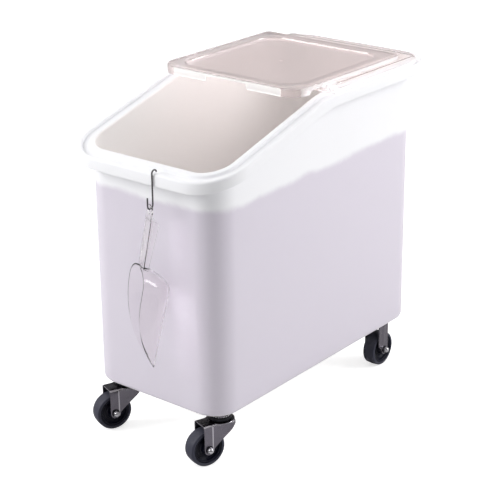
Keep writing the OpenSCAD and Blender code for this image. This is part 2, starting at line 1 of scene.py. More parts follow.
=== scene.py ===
"""Rolling ingredient bin: a white moulded tub on four casters, a clear sliding lid, and a scoop on a hook.

Metres, +Z up, with the origin on the floor under the middle of the tub and the front towards -Y.
"""
import logging
import math
from contextlib import contextmanager
from dataclasses import dataclass
from enum import Enum
from functools import cache, cached_property
from typing import Callable, Iterator, Sequence

import bmesh
import bpy
from bpy.types import Material, Mesh, Node, NodeSocket, NodeTree, Object
from mathutils import Matrix, Vector


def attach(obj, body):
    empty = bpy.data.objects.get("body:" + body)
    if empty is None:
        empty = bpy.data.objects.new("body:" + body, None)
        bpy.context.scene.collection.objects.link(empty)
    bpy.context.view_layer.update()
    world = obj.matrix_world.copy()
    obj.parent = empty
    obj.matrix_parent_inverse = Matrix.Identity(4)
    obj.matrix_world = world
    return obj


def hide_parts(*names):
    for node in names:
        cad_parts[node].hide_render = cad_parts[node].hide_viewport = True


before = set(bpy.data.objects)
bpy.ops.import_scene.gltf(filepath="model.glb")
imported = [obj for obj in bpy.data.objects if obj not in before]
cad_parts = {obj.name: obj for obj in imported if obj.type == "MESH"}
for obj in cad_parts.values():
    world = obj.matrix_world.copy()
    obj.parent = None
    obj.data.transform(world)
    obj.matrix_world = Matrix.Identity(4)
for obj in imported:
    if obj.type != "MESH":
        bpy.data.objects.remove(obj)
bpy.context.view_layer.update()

LOG = logging.getLogger("ingredient_bin")

JOINED = 1e-6
THINNEST = 1e-7
LEAST_RADIUS = 1e-4
STRAIGHT = math.radians(89)
MOST_CUT = 0.49
UPRIGHT = Matrix.Rotation(-math.pi / 2, 4, "Y")
VECTOR_MATH = "ShaderNodeVectorMath"
SCALAR_SUMS = ("DOT_PRODUCT", "LENGTH")
WHITE = (1, 1, 1, 1)

Point = tuple[float, float]
Ring = list[Vector]
Colour = tuple[float, float, float]
Sockets = bpy.types.bpy_prop_collection


class Side(Enum):
    """The two sides of the bin, with the sign of their X."""

    RIGHT = 1
    LEFT = -1

    @property
    def word(self) -> str:
        """The side's name as it stands in the frame's node names."""
        return self.name.lower()


class Mount(Enum):
    """How a caster is fixed: free to turn at the front, rigid at the rear."""

    FRONT = "front"
    REAR = "rear"


# Shapes


def arc(centre: Point, radius: float, start: float, end: float, steps: int) -> list[Point]:
    """Points along a circular arc.

    Args:
        centre: Middle of the circle.
        radius: Its radius.
        start: First angle, in degrees.
        end: Last angle, in degrees.
        steps: Number of equal steps.

    Returns:
        The points, both ends included.
    """
    angles = [math.radians(start + (end - start) * i / steps) for i in range(steps + 1)]
    return [(centre[0] + radius * math.cos(a), centre[1] + radius * math.sin(a)) for a in angles]


def rounded_line(corners: Sequence[tuple[float, float, float]], steps: int = 5) -> list[Point]:
    """An open line with each inner corner rounded by its own radius.

    Args:
        corners: Each corner's two coordinates and its radius.
        steps: Number of steps in each rounding.

    Returns:
        The points of the line.
    """
    line = [tuple(corners[0][:2])]
    for before, here, after in zip(corners, corners[1:], corners[2:]):
        corner, radius = Vector(here[:2]), here[2]
        back = Vector(before[:2]) - corner
        ahead = Vector(after[:2]) - corner
        half = back.angle(ahead) / 2
        if radius <= 0 or half > STRAIGHT:
            line.append(tuple(corner))
            continue
        cut = min(radius / math.tan(half), back.length * MOST_CUT, ahead.length * MOST_CUT)
        radius = cut * math.tan(half)
        middle = corner + (back.normalized() + ahead.normalized()).normalized() * (radius / math.sin(half))
        first = corner + back.normalized() * cut - middle
        last = corner + ahead.normalized() * cut - middle
        start = math.atan2(first.y, first.x)
        turn = math.remainder(math.atan2(last.y, last.x) - start, math.tau)
        line += arc(tuple(middle), radius, math.degrees(start), math.degrees(start + turn), steps)
    line.append(tuple(corners[-1][:2]))
    return line


def hexagon(radius: float) -> list[Point]:
    """The corners of a hexagon about the origin."""
    return arc((0, 0), radius, 0, 360, 6)[:-1]


def smooth_step(value: float, low: float, high: float) -> float:
    """A soft change from 0 at low to 1 at high."""
    t = min(max((value - low) / (high - low), 0.0), 1.0)
    return t * t * (3 - 2 * t)


def mix(a: float, b: float, share: float) -> float:
    """The number a given share of the way from a to b."""
    return a + (b - a) * share


@dataclass(frozen=True)
class RoundedOutline:
    """A rectangle with round corners, walked anticlockwise seen from above, from its front left corner."""

    x_half: float
    y_front: float
    y_rear: float
    front_r: float
    rear_r: float
    front_stops: tuple[float, ...] = ()
    side_stops: tuple[float, ...] = ()
    side_steps: int = 12
    end_steps: int = 12
    arc_steps: int = 12

    @staticmethod
    def _stations(start: float, end: float, steps: int, stops: Sequence[float]) -> list[float]:
        """Places along a straight side, the extra stops among them, as shares of the side.

        Args:
            start: Where the side starts.
            end: Where it ends.
            steps: Number of equal steps.
            stops: The extra places.

        Returns:
            The shares, in order.
        """
        shares = {round(i / steps, 6) for i in range(steps + 1)}
        shares |= {round((stop - start) / (end - start), 6) for stop in stops}
        return sorted(s for s in shares if 0 <= s <= 1)

    def shares(self) -> tuple[list[float], list[float]]:
        """Where the outline has points along its straight sides.

        Returns:
            The shares along the front side and along the right side.
        """
        x, y0, y1 = self.x_half - self.front_r, self.y_front + self.front_r, self.y_rear - self.rear_r
        return (self._stations(-x, x, self.end_steps, self.front_stops),
                self._stations(y0, y1, self.side_steps, self.side_stops))

    def ring(self, inset: float = 0.0, like: "RoundedOutline | None" = None) -> list[Point]:
        """The outline's points, a distance inside it.

        Args:
            inset: Distance inside the outline.
            like: Another outline whose shares along the sides are taken over, so that the rings match.

        Returns:
            The points, in order.
        """
        front, side = (like or self).shares()
        x, y0, y1 = self.x_half - inset, self.y_front + inset, self.y_rear - inset
        rf, rr = max(self.front_r - inset, LEAST_RADIUS), max(self.rear_r - inset, LEAST_RADIUS)
        n = self.arc_steps
        points = [(mix(-x + rf, x - rf, s), y0) for s in front]
        points += arc((x - rf, y0 + rf), rf, -90, 0, n)[1:-1]
        points += [(x, mix(y0 + rf, y1 - rr, s)) for s in side]
        points += arc((x - rr, y1 - rr), rr, 0, 90, n)[1:-1]
        points += [(mix(x - rr, -x + rr, s), y1) for s in front]
        points += arc((-x + rr, y1 - rr), rr, 90, 180, n)[1:-1]
        points += [(-x, mix(y1 - rr, y0 + rf, 1 - s)) for s in reversed(side)]
        points += arc((-x + rf, y0 + rf), rf, 180, 270, n)[1:-1]
        return points

    def levels(self, line: Sequence[Point], like: "RoundedOutline | None" = None) -> list[Ring]:
        """Level rings, one for each inset and height of a line."""
        return [[Vector((x, y, z)) for x, y in self.ring(inset, like)] for inset, z in line]


@contextmanager
def editing(mesh: Mesh) -> Iterator[bmesh.types.BMesh]:
    """Opens a mesh for editing, with corners that lie together joined, and writes it back.

    Args:
        mesh: The mesh.

    Yields:
        Its editable form.
    """
    bm = bmesh.new()
    bm.from_mesh(mesh)
    bmesh.ops.remove_doubles(bm, verts=bm.verts, dist=JOINED)
    yield bm
    bm.to_mesh(mesh)
    bm.free()


def round_edges(bm: bmesh.types.BMesh, angle: float, width: float, segments: int) -> None:
    """Rounds the edges of a mesh that are sharper than an angle.

    Args:
        bm: The mesh, opened for editing.
        angle: Least angle between an edge's faces, in degrees.
        width: Width of the round edges.
        segments: Number of steps across each.
    """
    sharp = [e for e in bm.edges if e.is_manifold and e.calc_face_angle(0) > math.radians(angle)]
    bmesh.ops.bevel(bm, geom=sharp, offset=width, segments=segments, profile=0.5, affect="EDGES",
                    clamp_overlap=True)


class Draft:
    """Collects the corners and faces of one piece, in metres."""

    def __init__(self) -> None:
        """Starts with nothing."""
        self.corners: list[Vector] = []
        self.faces: list[tuple[int, ...]] = []

    def loft(self, rings: Sequence[Sequence[Vector]], caps: bool = True, round_trip: bool = False) -> "Draft":
        """Joins closed rings of equal length by quads.

        Args:
            rings: The rings, in order.
            caps: Closes the first and the last ring with a face.
            round_trip: Joins the last ring to the first.

        Returns:
            The draft itself.
        """
        base, n = len(self.corners), len(rings[0])
        self.corners += [Vector(p) for ring in rings for p in ring]
        rows = len(rings) if round_trip else len(rings) - 1
        for i in range(rows):
            a, b = base + i * n, base + (i + 1) % len(rings) * n
            for j in range(n):
                k = (j + 1) % n
                self.faces.append((a + j, a + k, b + k, b + j))
        if caps:
            self.faces.append(tuple(base + j for j in reversed(range(n))))
            self.faces.append(tuple(base + (len(rings) - 1) * n + j for j in range(n)))
        return self

    def shell(self, upper: Sequence[Ring], lower: Sequence[Ring]) -> "Draft":
        """A hollow sheet, capped in the middle of both faces and open at the shared edge, where they join.

        Args:
            upper: Rings from the edge to the middle of one face.
            lower: Rings from the middle of the other face to the same edge.

        Returns:
            The draft itself.
        """
        self.loft(upper).faces.pop(-2)
        self.loft(lower).faces.pop(-1)
        return self

    def revolve(self, profile: Sequence[Point], place: Matrix, steps: int = 48,
                hollow: bool = False) -> "Draft":
        """Turns a profile of radius and length about a place's X axis.

        Args:
            profile: Pairs of a radius and a place along the axis.
            place: Frame whose X is the axis.
            steps: Number of steps round the axis.
            hollow: The profile is a closed loop that stays clear of the axis.

        Returns:
            The draft itself.
        """
        turns = [math.tau * i / steps for i in range(steps)]
        rings = [[place @ Vector((x, r * math.cos(t), r * math.sin(t))) for t in turns] for r, x in profile]
        return self.loft(rings, caps=not hollow, round_trip=hollow)

    def slab(self, outline: Sequence[Point], low: float, high: float, edge: float, place: Matrix,
             steps: int = 3) -> "Draft":
        """A flat plate with rounded edges.

        Args:
            outline: The plate's outline in X and Y, anticlockwise and convex.
            low: Its lower face's Z.
            high: Its upper face's Z.
            edge: Radius along its edges.
            place: Frame of the outline.
            steps: Number of steps in each rounded edge.

        Returns:
            The draft itself.
        """
        middle = sum((Vector(p) for p in outline), Vector((0, 0))) / len(outline)
        reach = min((Vector(p) - middle).length for p in outline)
        turns = [math.pi / 2 * i / steps for i in range(steps + 1)]
        profile = [(edge - edge * math.sin(a), low + edge - edge * math.cos(a)) for a in turns]
        profile += [(edge - edge * math.cos(a), high - edge + edge * math.sin(a)) for a in turns]
        rings = []
        for inset, z in profile:
            share = 1 - inset / reach
            rings.append([place @ Vector((*(middle + (Vector(p) - middle) * share), z)) for p in outline])
        return self.loft(rings)

    def sheet(self, rows: Sequence[Sequence[Vector]], thickness: float) -> "Draft":
        """A plate of even thickness whose middle follows a grid of points.

        Args:
            rows: Rows of points, all of the same length.
            thickness: The plate's thickness.

        Returns:
            The draft itself.
        """
        n, m = len(rows), len(rows[0])
        half = thickness / 2

        def normal(i: int, j: int) -> Vector:
            """The grid's own direction across the sheet at one point.

            Args:
                i: The point's row.
                j: Its place in the row.

            Returns:
                The direction, of length 1.
            """
            along = rows[min(i + 1, n - 1)][j] - rows[max(i - 1, 0)][j]
            across = rows[i][min(j + 1, m - 1)] - rows[i][max(j - 1, 0)]
            return along.cross(across).normalized()

        rings = []
        for i in range(n):
            upper = [rows[i][j] + normal(i, j) * half for j in range(m)]
            lower = [rows[i][j] - normal(i, j) * half for j in reversed(range(m))]
            rings.append(upper + lower)
        return self.loft(rings)

    def mesh(self, name: str) -> Mesh:
        """The corners and faces as a mesh.

        Args:
            name: The mesh's name.

        Returns:
            The mesh.
        """
        made = bpy.data.meshes.new(name)
        made.from_pydata(self.corners, [], self.faces)
        return made

    def finish(self, role: "Role", bevel: float = 0.0) -> Object:
        """Makes the piece, dresses it and hands it to the frame.

        Args:
            role: What the piece is.
            bevel: Width of a round edge made along sharp edges, or 0.

        Returns:
            The piece.
        """
        mesh = self.mesh(role.name)
        with editing(mesh) as bm:
            bmesh.ops.dissolve_degenerate(bm, dist=THINNEST, edges=bm.edges)
            bmesh.ops.recalc_face_normals(bm, faces=bm.faces)
            if bevel:
                round_edges(bm, role.crease, bevel, segments=3)
        return hand_over(role, mesh)


@dataclass(frozen=True)
class Role:
    """What a piece is: its name and finish, the body it rides on, its material slot in the record, the frame
    nodes that it stands for, and the angle in degrees above which an edge stays sharp.
    """

    name: str
    finish: "Finish"
    body: str
    slot: str
    nodes: tuple[str, ...] = ()
    crease: float = 40.0


def add_object(name: str, data: bpy.types.ID) -> Object:
    """Adds an object to the scene.

    Args:
        name: Its name.
        data: Its mesh, lamp or camera.

    Returns:
        The object.
    """
    made = bpy.data.objects.new(name, data)
    bpy.context.scene.collection.objects.link(made)
    return made


def hand_over(role: Role, mesh: Mesh) -> Object:
    """Links a finished mesh as a piece that rides on a body.

    Args:
        role: What the piece is.
        mesh: Its mesh, in place.

    Returns:
        The piece.
    """
    mesh.shade_smooth()
    mesh.set_sharp_from_angle(angle=math.radians(role.crease))
    mesh.materials.clear()
    mesh.materials.append(role.finish.material())
    piece = add_object(role.name, mesh)
    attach(piece, role.body)
    if role.nodes:
        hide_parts(*role.nodes)
    LOG.info("%s: %d faces on %s", role.name, len(mesh.polygons), role.body)
    return piece


def refinish(piece: Object, finish: "Finish", chosen: Callable[[Vector, Vector], bool],
             frame_of: Matrix = Matrix.Identity(4)) -> None:
    """Gives some faces of a piece a finish of their own.

    Args:
        piece: The piece.
        finish: The finish of the chosen faces.
        chosen: Says whether a face is one of them, from its middle and its normal.
        frame_of: Frame in which the faces are looked at.
    """
    mesh = piece.data
    mesh.materials.append(finish.material())
    inverse = frame_of.inverted()
    for face in mesh.polygons:
        if chosen(inverse @ face.center, inverse.to_3x3() @ face.normal):
            face.material_index = len(mesh.materials) - 1


def soften(role: Role, width: float) -> Object:
    """A copy of the frame node that a piece stands for, with small round edges.

    Args:
        role: What the piece is.
        width: Width of the round edges.

    Returns:
        The piece.
    """
    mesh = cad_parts[role.nodes[0]].data.copy()
    mesh.name = role.name
    with editing(mesh) as bm:
        bmesh.ops.dissolve_limit(bm, angle_limit=math.radians(1), verts=bm.verts, edges=bm.edges)
        round_edges(bm, 35, width, segments=2)
    return hand_over(role, mesh)


def dress(node: str, finish: "Finish") -> None:
    """Gives a frame node that stays in sight its finish.

    Args:
        node: The frame node.
        finish: Its finish.
    """
    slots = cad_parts[node].data.materials
    slots.clear()
    slots.append(finish.material())


# Finishes


class Shader:
    """A small helper that adds nodes to a tree and links them."""

    def __init__(self, tree: NodeTree) -> None:
        """Keeps the tree that the nodes go into."""
        self.tree = tree

    def put(self, value: object, socket: NodeSocket) -> None:
        """Gives an input a value.

        Args:
            value: The value, or a socket that is linked to the input.
            socket: The input.
        """
        if isinstance(value, NodeSocket):
            self.tree.links.new(value, socket)
        else:
            socket.default_value = value

    def node(self, kind: str, **settings: object) -> Node:
        """Adds a node.

        Args:
            kind: Its type.
            settings: Properties of the node, or values of its inputs under their names with spaces as _.

        Returns:
            The node.
        """
        made = self.tree.nodes.new(kind)
        for key, value in settings.items():
            if hasattr(made, key):
                setattr(made, key, value)
            else:
                self.put(value, made.inputs[key.replace("_", " ")])
        return made

    def calc(self, operation: str, *values: object, kind: str = "ShaderNodeMath") -> NodeSocket:
        """Adds a sum.

        Args:
            operation: What is done with the values.
            values: Numbers, vectors or sockets, in order.
            kind: Type of the node.

        Returns:
            The outcome.
        """
        node = self.node(kind, operation=operation)
        for value, socket in zip(values, node.inputs):
            self.put(value, socket)
        return node.outputs["Value" if operation in SCALAR_SUMS else 0]

    def ranged(self, value: NodeSocket, low: object, high: object, to_low: object = 0.0,
               to_high: object = 1.0, soft: bool = False) -> NodeSocket:
        """Maps a value from one range to another, and keeps it in there.

        Args:
            value: The value.
            low: Start of its range, a number or a socket like the next three.
            high: End of its range.
            to_low: Start of the new range.
            to_high: End of the new range.
            soft: The change starts and ends softly.

        Returns:
            The mapped value.
        """
        shape = "SMOOTHSTEP" if soft else "LINEAR"
        return self.node("ShaderNodeMapRange", interpolation_type=shape, Value=value, From_Min=low,
                         From_Max=high, To_Min=to_low, To_Max=to_high).outputs[0]

    def noise(self, place: NodeSocket, scale: object, detail: float, roughness: float = 0.5) -> NodeSocket:
        """Adds a noise texture.

        Args:
            place: Coordinates that it reads.
            scale: Its scale, a number or a socket.
            detail: How many finer layers it has.
            roughness: How strong they are.

        Returns:
            Its value.
        """
        return self.node("ShaderNodeTexNoise", Vector=place, Scale=scale, Detail=detail,
                         Roughness=roughness).outputs["Fac"]

    def parts(self, vector: NodeSocket) -> Sockets:
        """The X, Y and Z of a vector."""
        return self.node("ShaderNodeSeparateXYZ", Vector=vector).outputs

    def light_path(self, ray: str) -> NodeSocket:
        """Says whether a ray is of one kind."""
        return self.node("ShaderNodeLightPath").outputs[ray]


class Surface(Shader):
    """The tree of one material."""

    def __init__(self, name: str) -> None:
        """Starts the material.

        Args:
            name: Its name.
        """
        self.material = bpy.data.materials.new(name)
        self.material.use_nodes = True
        super().__init__(self.material.node_tree)
        self.bsdf = self.tree.nodes["Principled BSDF"]

    @cached_property
    def place(self) -> NodeSocket:
        """The Object coordinates."""
        return self.node("ShaderNodeTexCoord").outputs["Object"]

    def dress(self, **values: object) -> None:
        """Sets inputs of the Principled shader, under their names with spaces as _."""
        for key, value in values.items():
            self.put(value, self.bsdf.inputs[key.replace("_", " ")])

    def effect(self, tree: NodeTree, **values: float) -> Sockets:
        """Places a shared effect in the material and returns its outputs."""
        return self.node("ShaderNodeGroup", node_tree=tree, Place=self.place, **values).outputs

    def bump(self, height: NodeSocket, depth: float) -> None:
        """Gives the surface a fine relief of a real depth, from heights of 0 to 1."""
        self.dress(Normal=self.node("ShaderNodeBump", Distance=depth, Height=height).outputs[0])

    def mixed(self, mask: NodeSocket, a: Colour | NodeSocket, b: Colour | NodeSocket) -> NodeSocket:
        """A colour that goes from a to b with a mask.

        Args:
            mask: Share of b.
            a: Colour where the mask is 0.
            b: Colour where the mask is 1.

        Returns:
            The mixed colour.
        """
        node = self.node("ShaderNodeMix", data_type="RGBA")
        self.put(mask, node.inputs[0])
        for socket, colour in ((node.inputs[6], a), (node.inputs[7], b)):
            self.put(colour if isinstance(colour, NodeSocket) else (*colour, 1), socket)
        return node.outputs[2]


def group_tree(name: str, inputs: dict[str, float],
               outputs: Sequence[str]) -> tuple[Shader, Sockets, Sockets]:
    """Starts a shader node group with a vector input, named values and value outputs.

    Args:
        name: The group's name.
        inputs: Its value inputs and their starting values.
        outputs: Its value outputs.

    Returns:
        The helper for the group's tree, what the group is given, and what it puts out.
    """
    tree = bpy.data.node_groups.new(name, "ShaderNodeTree")
    tree.interface.new_socket("Place", in_out="INPUT", socket_type="NodeSocketVector")
    for key, value in inputs.items():
        tree.interface.new_socket(key, in_out="INPUT", socket_type="NodeSocketFloat").default_value = value
    for key in outputs:
        tree.interface.new_socket(key, in_out="OUTPUT", socket_type="NodeSocketFloat")
    shader = Shader(tree)
    return shader, shader.node("NodeGroupInput").outputs, shader.node("NodeGroupOutput").inputs


class Effects:
    """The surface effects that several finishes share, each a node group that is built once."""

    GRAIN_SHARE = 0.25
    CLOUD_RANGE = (0.4, 0.85)
    SCRATCH_RANGE = (0.58, 0.72)
    UPWARD_RANGE = (0.2, 1.0)
    PATCH_SCALE = 90.0

    @staticmethod
    @cache
    def mottle() -> NodeTree:
        """Soft cloudy change between two values, with a finer grain on top.

        Returns:
            The effect's node group.
        """
        s, given, out = group_tree("mottle", {"Scale": 20.0, "Grain": 400.0, "Low": 0.3, "High": 0.5},
                                   ("Value", "Height"))
        cloud = s.noise(given["Place"], given["Scale"], detail=3.0)
        grain = s.noise(given["Place"], given["Grain"], detail=2.0)
        both = s.calc("MULTIPLY_ADD", grain, Effects.GRAIN_SHARE, cloud)
        s.put(s.ranged(both, *Effects.CLOUD_RANGE, given["Low"], given["High"]), out["Value"])
        s.put(grain, out["Height"])
        return s.tree

    @staticmethod
    @cache
    def scuffs() -> NodeTree:
        """Sparse fine scratches that run mostly one way, as a mask and a height.

        Returns:
            The effect's node group.
        """
        s, given, out = group_tree("scuffs", {"Scale": 60.0, "Stretch": 12.0, "Amount": 0.4},
                                   ("Mask", "Height"))
        axes = s.node("ShaderNodeCombineXYZ", X=1.0, Y=given["Stretch"], Z=1.0).outputs[0]
        drawn = s.calc("MULTIPLY", given["Place"], axes, kind=VECTOR_MATH)
        noise = s.noise(drawn, given["Scale"], detail=4.0, roughness=0.6)
        scratches = s.ranged(noise, *Effects.SCRATCH_RANGE)
        s.put(s.calc("MULTIPLY", scratches, given["Amount"]), out["Mask"])
        s.put(noise, out["Height"])
        return s.tree

    @staticmethod
    @cache
    def settled_dust() -> NodeTree:
        """A patchy mask on faces that look up and near the floor: settled dust, and painted shade where the
        material's colour for it is near black.

        Returns:
            The effect's node group.
        """
        s, given, out = group_tree("settled_dust", {"Amount": 0.3, "Reach": 0.05}, ("Mask",))
        facing = s.parts(s.node("ShaderNodeNewGeometry").outputs["Normal"])
        upward = s.ranged(facing["Z"], *Effects.UPWARD_RANGE)
        low = s.ranged(s.parts(given["Place"])["Z"], 0.0, given["Reach"], 1.0, 0.0)
        patchy = s.noise(given["Place"], Effects.PATCH_SCALE, detail=5.0)
        broken = s.calc("MULTIPLY", s.calc("MAXIMUM", upward, low), patchy)
        s.put(s.calc("MULTIPLY", broken, given["Amount"]), out["Mask"])
        return s.tree

    @staticmethod
    @cache
    def within() -> NodeTree:
        """What lies inside an upright box with round corners about the middle, as a sharp mask.

        Returns:
            The effect's node group.
        """
        s, given, out = group_tree("within", {"Core X": 0.1, "Core Y": 0.2, "Radius": 0.05}, ("Mask",))
        plan = s.parts(given["Place"])
        beyond = s.node("ShaderNodeCombineXYZ")
        for axis in "XY":
            over = s.calc("SUBTRACT", s.calc("ABSOLUTE", plan[axis]), given["Core " + axis])
            s.put(s.calc("MAXIMUM", over, 0.0), beyond.inputs[axis])
        reach = s.calc("LENGTH", beyond.outputs[0], kind=VECTOR_MATH)
        s.put(s.calc("LESS_THAN", reach, given["Radius"]), out["Mask"])
        return s.tree


@dataclass(frozen=True)
class Finish:
    """What every finish shares: its name, and a material that is built once."""

    name: str

    def material(self) -> Material:
        """The finish as a material.

        Returns:
            The material.
        """
        if self.name not in bpy.data.materials:
            self.build(Surface(self.name))
        return bpy.data.materials[self.name]

    def build(self, s: Surface) -> None:
        """Builds the material; each finish has its own."""
        raise NotImplementedError


@dataclass(frozen=True)
class MouldedTub(Finish):
    """White polyethylene, with painted shade that greys the outside below an uneven line, warm inside, and an
    orange-peel skin.
    """

    # Painted shade: below the uneven line the outer wall takes the darker lower colour in place of upper; it
    # stands in for shade through the translucent wall, not a tone of the plastic.
    upper: Colour = (0.89, 0.89, 0.915)
    lower: Colour = (0.70, 0.66, 0.735)
    inside: Colour = (0.93, 0.905, 0.895)
    change_z: float = 0.536
    change_tilt: float = 0.02
    change_h: float = 0.008
    wander: float = 0.022
    wander_scale: float = 16.0
    core: Point = (0.110, 0.273)
    core_r: float = 0.0535
    gloss: float = 0.25
    glow: float = 0.35
    depth: float = 0.006
    ior: float = 1.5
    peel: float = 0.00012

    def build(self, s: Surface) -> None:
        """Builds the tub's material in its tree."""
        # Painted shade: the outer wall is mixed to the darker lower colour below a tilted, uneven line.
        line = s.calc("DOT_PRODUCT", s.place, (0, -self.change_tilt, 1), kind=VECTOR_MATH)
        uneven = s.noise(s.place, self.wander_scale, detail=6.0, roughness=0.55)
        lift = s.calc("MULTIPLY_ADD", uneven, self.wander, line)
        middle = self.change_z + self.wander / 2
        painted_shade_band = s.ranged(lift, middle - self.change_h, middle + self.change_h, soft=True)
        outside = s.mixed(painted_shade_band, self.lower, self.upper)
        # Inside the tub the inside colour takes the place of the outer colours and their painted shade.
        core_x, core_y = self.core
        within = s.effect(Effects.within(), Radius=self.core_r, Core_X=core_x, Core_Y=core_y)
        skin = s.effect(Effects.mottle(), Scale=14.0, Grain=520.0, Low=0.34, High=0.48)
        s.dress(Base_Color=s.mixed(within["Mask"], outside, self.inside), Roughness=skin["Value"],
                Specular_IOR_Level=self.gloss, Subsurface_Weight=self.glow, IOR=self.ior,
                Subsurface_Radius=(1.0, 1.0, 1.0), Subsurface_Scale=self.depth)
        s.bump(skin["Height"], self.peel)


@dataclass(frozen=True)
class ClearPlastic(Finish):
    """Clear polycarbonate with a faint tint and light scuffs from use."""

    tint: Colour = (0.965, 0.94, 0.94)
    veil: Colour = (0.975, 0.96, 0.96)
    clear: float = 1.0
    smooth: float = 0.03
    scuffed: float = 0.16
    ior: float = 1.58

    def build(self, s: Surface) -> None:
        """Builds the clear material in its tree, which lets lamps through as thin plastic does."""
        scuffs = s.effect(Effects.scuffs(), Scale=35.0, Stretch=9.0, Amount=1.0)
        s.dress(Base_Color=(*self.tint, 1), Transmission_Weight=self.clear, IOR=self.ior,
                Roughness=s.ranged(scuffs["Mask"], 0.0, 1.0, self.smooth, self.scuffed))
        through = s.node("ShaderNodeBsdfTransparent", Color=(*self.veil, 1))
        both = s.node("ShaderNodeMixShader", Fac=s.light_path("Is Shadow Ray"))
        s.put(s.bsdf.outputs[0], both.inputs[1])
        s.put(through.outputs[0], both.inputs[2])
        s.put(both.outputs[0], s.tree.nodes["Material Output"].inputs["Surface"])


@dataclass(frozen=True)
class Metal(Finish):
    """Plated or bare metal with cloudy gloss, fine rolling lines and some dust low down, which with a near
    black colour is painted shade.
    """

    colour: Colour = (0.62, 0.62, 0.64)
    dull: Colour = (0.40, 0.39, 0.40)
    grime: Colour = (0.45, 0.43, 0.41)
    low_rough: float = 0.16
    high_rough: float = 0.34
    dust: float = 0.25
    dust_reach: float = 0.03
    line_depth: float = 0.00003

    def build(self, s: Surface) -> None:
        """Builds the metal's material in its tree."""
        cloud = s.effect(Effects.mottle(), Scale=60.0, Grain=900.0, Low=self.low_rough, High=self.high_rough)
        lines = s.effect(Effects.scuffs(), Scale=120.0, Stretch=14.0, Amount=0.5)
        # Faces that look up and faces near the floor take a second colour: settled dust by default, and
        # painted shade where it is near black, as on the plated steel.
        dust = s.effect(Effects.settled_dust(), Amount=self.dust, Reach=self.dust_reach)
        plated = s.mixed(lines["Mask"], self.colour, self.dull)
        s.dress(Base_Color=s.mixed(dust["Mask"], plated, self.grime), Roughness=cloud["Value"], Metallic=1.0)
        s.bump(lines["Height"], self.line_depth)


@dataclass(frozen=True)
class Polymer(Finish):
    """Solid coloured plastic or rubber with a fine moulded grain and dust from the floor."""

    colour: Colour = (0.02, 0.02, 0.025)
    worn: Colour = (0.05, 0.05, 0.055)
    grime: Colour = (0.34, 0.33, 0.32)
    low_rough: float = 0.35
    high_rough: float = 0.6
    grain: float = 900.0
    grain_depth: float = 0.00004
    dust: float = 0.3
    dust_reach: float = 0.03
    gloss: float = 0.5

    def build(self, s: Surface) -> None:
        """Builds the polymer's material in its tree."""
        cloud = s.effect(Effects.mottle(), Scale=70.0, Grain=self.grain, Low=self.low_rough,
                         High=self.high_rough)
        wear = s.effect(Effects.scuffs(), Scale=80.0, Stretch=5.0, Amount=0.8)
        dust = s.effect(Effects.settled_dust(), Amount=self.dust, Reach=self.dust_reach)
        worn = s.mixed(wear["Mask"], self.colour, self.worn)
        s.dress(Base_Color=s.mixed(dust["Mask"], worn, self.grime), Roughness=cloud["Value"],
                Specular_IOR_Level=self.gloss)
        s.bump(cloud["Height"], self.grain_depth)


TUB_PLASTIC = MouldedTub("tub_polyethylene")
LID_CLEAR = ClearPlastic("lid_polycarbonate", tint=(0.85, 0.785, 0.78), clear=0.75, scuffed=0.08, ior=1.42)
REAR_CLEAR = ClearPlastic("rear_lid_polycarbonate", tint=(0.915, 0.865, 0.86), clear=0.85, scuffed=0.06,
                          ior=1.35)
LID_FROST = ClearPlastic("lid_frosted_skirt", tint=(0.98, 0.97, 0.965), clear=0.2, smooth=0.2, scuffed=0.3)
EDGE_CLEAR = ClearPlastic("edge_polycarbonate", tint=(0.965, 0.95, 0.958), clear=0.6, scuffed=0.08, ior=1.3)
SCOOP_CLEAR = ClearPlastic("scoop_polycarbonate", tint=(0.97, 0.955, 0.96), veil=(0.80, 0.78, 0.80),
                           smooth=0.02, scuffed=0.10, ior=1.35)
# Plated steel: its colour is set far darker than zinc as a painted dark reflection of the surroundings, and
# its near black second colour on faces that look up, at 1.6 strength, is painted shade under the tub.
PLATED = Metal("zinc_plating", colour=(0.17, 0.158, 0.185), dull=(0.10, 0.093, 0.11),
               grime=(0.012, 0.011, 0.015), low_rough=0.14, high_rough=0.30, dust=1.6)
BRIGHT = Metal("bright_nut_plating", colour=(0.55, 0.54, 0.57), dull=(0.35, 0.34, 0.36), low_rough=0.05,
               high_rough=0.12, dust=0.0)
# Lighter plating for the fork's folds and creases: a painted highlight.
FOLD_HIGHLIGHT = Metal("rubbed_plating", colour=(0.52, 0.50, 0.54), dull=(0.34, 0.32, 0.35), low_rough=0.12,
               high_rough=0.25, dust=0.0)
# Near black steel: painted shade on the swivel raceway under the tub, and a painted dark reflection on the
# nut's washer ring.
PAINTED_DARK_STEEL = Metal("oiled_race_steel", colour=(0.03, 0.03, 0.035), dull=(0.015, 0.015, 0.015), low_rough=0.3,
              high_rough=0.5, dust=0.0)
PALE_PIN = Metal("pale_pin_plating", colour=(0.92, 0.90, 0.90), dull=(0.85, 0.83, 0.83), low_rough=0.45,
                 high_rough=0.6, dust=0.0)
WIRE = Metal("dark_hook_wire", colour=(0.09, 0.085, 0.09), dull=(0.05, 0.05, 0.05), low_rough=0.25,
             high_rough=0.4, dust=0.0)
BRASS = Metal("insert_brass", colour=(0.70, 0.52, 0.22), dull=(0.50, 0.36, 0.15), dust=0.0)
CORE_PLASTIC = Polymer("wheel_core_plastic", colour=(0.004, 0.0045, 0.013), worn=(0.010, 0.011, 0.02),
                       low_rough=0.25, high_rough=0.45, dust=0.0, gloss=0.2)
TREAD_RUBBER = Polymer("grey_tread_rubber", colour=(0.028, 0.029, 0.050), worn=(0.045, 0.046, 0.068),
                       low_rough=0.45, high_rough=0.65, grain=700.0, grain_depth=0.00008, dust=0.1, gloss=0.4)


# Repeated shapes by geometry nodes


